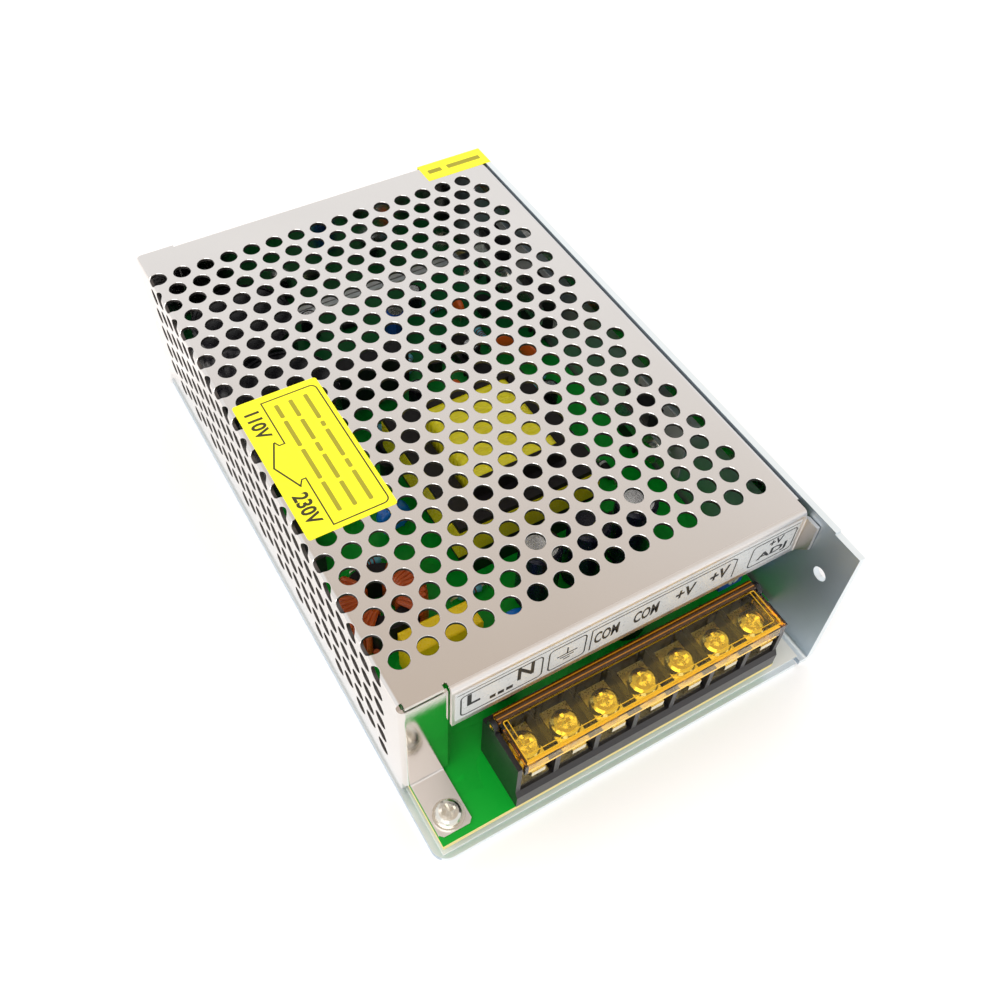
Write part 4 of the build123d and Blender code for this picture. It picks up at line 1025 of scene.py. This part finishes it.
def dress_nodes(finishes):
    """Gives each CAD node the finish of its slot, and the cans a finish of their own."""
    for part in frame["record"]["subparts"]:
        materials = frame["nodes"][part["node"]].data.materials
        materials.clear()
        materials.append(finishes[part["material_slot"]].material)
    black, dark, blue = linear(15, 14, 20), linear(16, 16, 32), linear(20, 56, 116)
    bright = surface("terminal_screw_steel", linear(236, 230, 214), 0.1, 1.0, 0.06, 1.0, 1.1, 0.09)
    for number in range(1, 8):
        frame["nodes"][f"terminal_screw_{number}"].data.materials[0] = bright.material
    cans = (
        ("bulk_capacitor_1", black, False), ("bulk_capacitor_2", black, False),
        ("start_capacitor", blue, True), ("output_capacitor_1", dark, True),
        ("output_capacitor_2", dark, False), ("output_capacitor_3", dark, True),
    )
    for node, sleeve, bare_top in cans:
        frame["nodes"][node].data.materials[0] = can_finish(node, sleeve, bare_top).material


def make_floor():
    """A pale floor wide enough to fill the view."""
    mesh_data = bmesh.new()
    bmesh.ops.create_grid(mesh_data, x_segments=1, y_segments=1, size=3.0)
    mesh = bpy.data.meshes.new("floor")
    mesh_data.to_mesh(mesh)
    mesh_data.free()
    floor = bpy.data.objects.new("floor", mesh)
    bpy.context.scene.collection.objects.link(floor)
    finish = surface("floor", (0.93, 0.93, 0.93, 1.0), 0.7, change=0.01, blotch=300.0, grain=50.0, relief=0.0)
    finish.set(Specular_IOR_Level=0.1)
    mesh.materials.append(finish.material)


def make_world():
    """A soft surround, the same for every ray: warm grey overhead and white towards the horizon."""
    world = bpy.data.worlds.new("surround")
    bpy.context.scene.world = world
    world.use_nodes = True
    tree = world.node_tree
    background = tree.nodes["Background"]
    direction = tree.nodes.new("ShaderNodeTexCoord")
    parts = tree.nodes.new("ShaderNodeSeparateXYZ")
    tree.links.new(direction.outputs["Generated"], parts.inputs[0])
    height = tree.nodes.new("ShaderNodeMapRange")
    height.interpolation_type = "SMOOTHSTEP"
    height.inputs["From Min"].default_value = 0.6
    height.inputs["From Max"].default_value = 0.95
    tree.links.new(parts.outputs["Z"], height.inputs["Value"])
    sky = tree.nodes.new("ShaderNodeMix")
    sky.data_type = "RGBA"
    tree.links.new(height.outputs[0], sky.inputs[MIX_FACTOR])
    sky.inputs[MIX_FIRST].default_value = (1.0, 1.0, 1.0, 1.0)
    sky.inputs[MIX_SECOND].default_value = (0.68, 0.58, 0.49, 1.0)
    tree.links.new(sky.outputs[MIX_RESULT], background.inputs["Color"])


def make_lamp(name, place, aim, size, power, in_reflections):
    """A square soft lamp that looks at a point."""
    light = bpy.data.lights.new(name, "AREA")
    light.size = size
    light.energy = power
    lamp = bpy.data.objects.new(name, light)
    bpy.context.scene.collection.objects.link(lamp)
    lamp.location = place
    lamp.rotation_euler = (Vector(aim) - Vector(place)).to_track_quat("-Z", "Y").to_euler()
    lamp.visible_glossy = in_reflections


def make_camera():
    """The camera of the photograph, fitted to the punched holes."""
    right = Vector((0.8627, -0.5046, 0.034))
    down = Vector((-0.3822, -0.6946, -0.6095))
    ahead = Vector((0.3311, 0.5128, -0.7921))
    corner = Vector((*FIRST_HOLE, STICKER_HIGH.z))  # the corner hole that the fit counts from
    offset = Vector((-81.19, -54.05, 258.42))  # that corner as the camera sees it
    place = corner - (right * offset.x + down * offset.y + ahead * offset.z)
    data = bpy.data.cameras.new("camera")
    data.sensor_width = 36.0
    data.lens = 38.05
    data.shift_x = 0.01
    data.clip_start = 0.01
    camera = bpy.data.objects.new("camera", data)
    bpy.context.scene.collection.objects.link(camera)
    columns = Matrix((right, -down, -ahead)).transposed()
    camera.matrix_world = Matrix.Translation(place * MM) @ columns.to_4x4()
    bpy.context.scene.camera = camera


def build():
    """The whole scene."""
    finishes = make_finishes()
    ink = surface("ink", linear(52, 48, 8), 0.5, change=0.15, grain=0.3)
    faint_ink = surface("faint_ink", linear(158, 150, 20), 0.5, change=0.15, grain=0.3)
    black_ink = surface("black_ink", linear(30, 31, 34), 0.5, change=0.15, grain=0.3)
    punched = surface("punched_edge", linear(96, 92, 90), 0.5, 1.0, 0.1, 1.0, 0.1, 0.01)
    dress_nodes(finishes)
    make_cover(finishes["cover_steel"], punched)
    voltage_sheet(finishes["label_yellow"])
    corner_sheet(finishes["label_yellow"])
    voltage_print(ink)
    small_print(faint_ink)
    lip_print(black_ink)
    sticker_print(faint_ink)
    choke_wire(finishes["copper_wire"])
    rim = surface("lid_rim", linear(222, 172, 34), 0.2, change=0.12, blotch=2.0)
    lid_trim(rim, hinge_bar_finish())
    small_parts(finishes)
    soften("terminal_lid", 0.18)
    soften("terminal_housing", 0.12)
    make_floor()
    make_world()
    make_lamp("key", (-0.5, -0.35, 0.9), (0, 0, 0), 0.9, 6.0, True)
    make_lamp("fill", (0.5, 0.6, 1.0), (0, 0, 0), 1.0, 3.5, False)
    make_camera()
    bpy.context.scene.view_settings.view_transform = "Standard"


build()
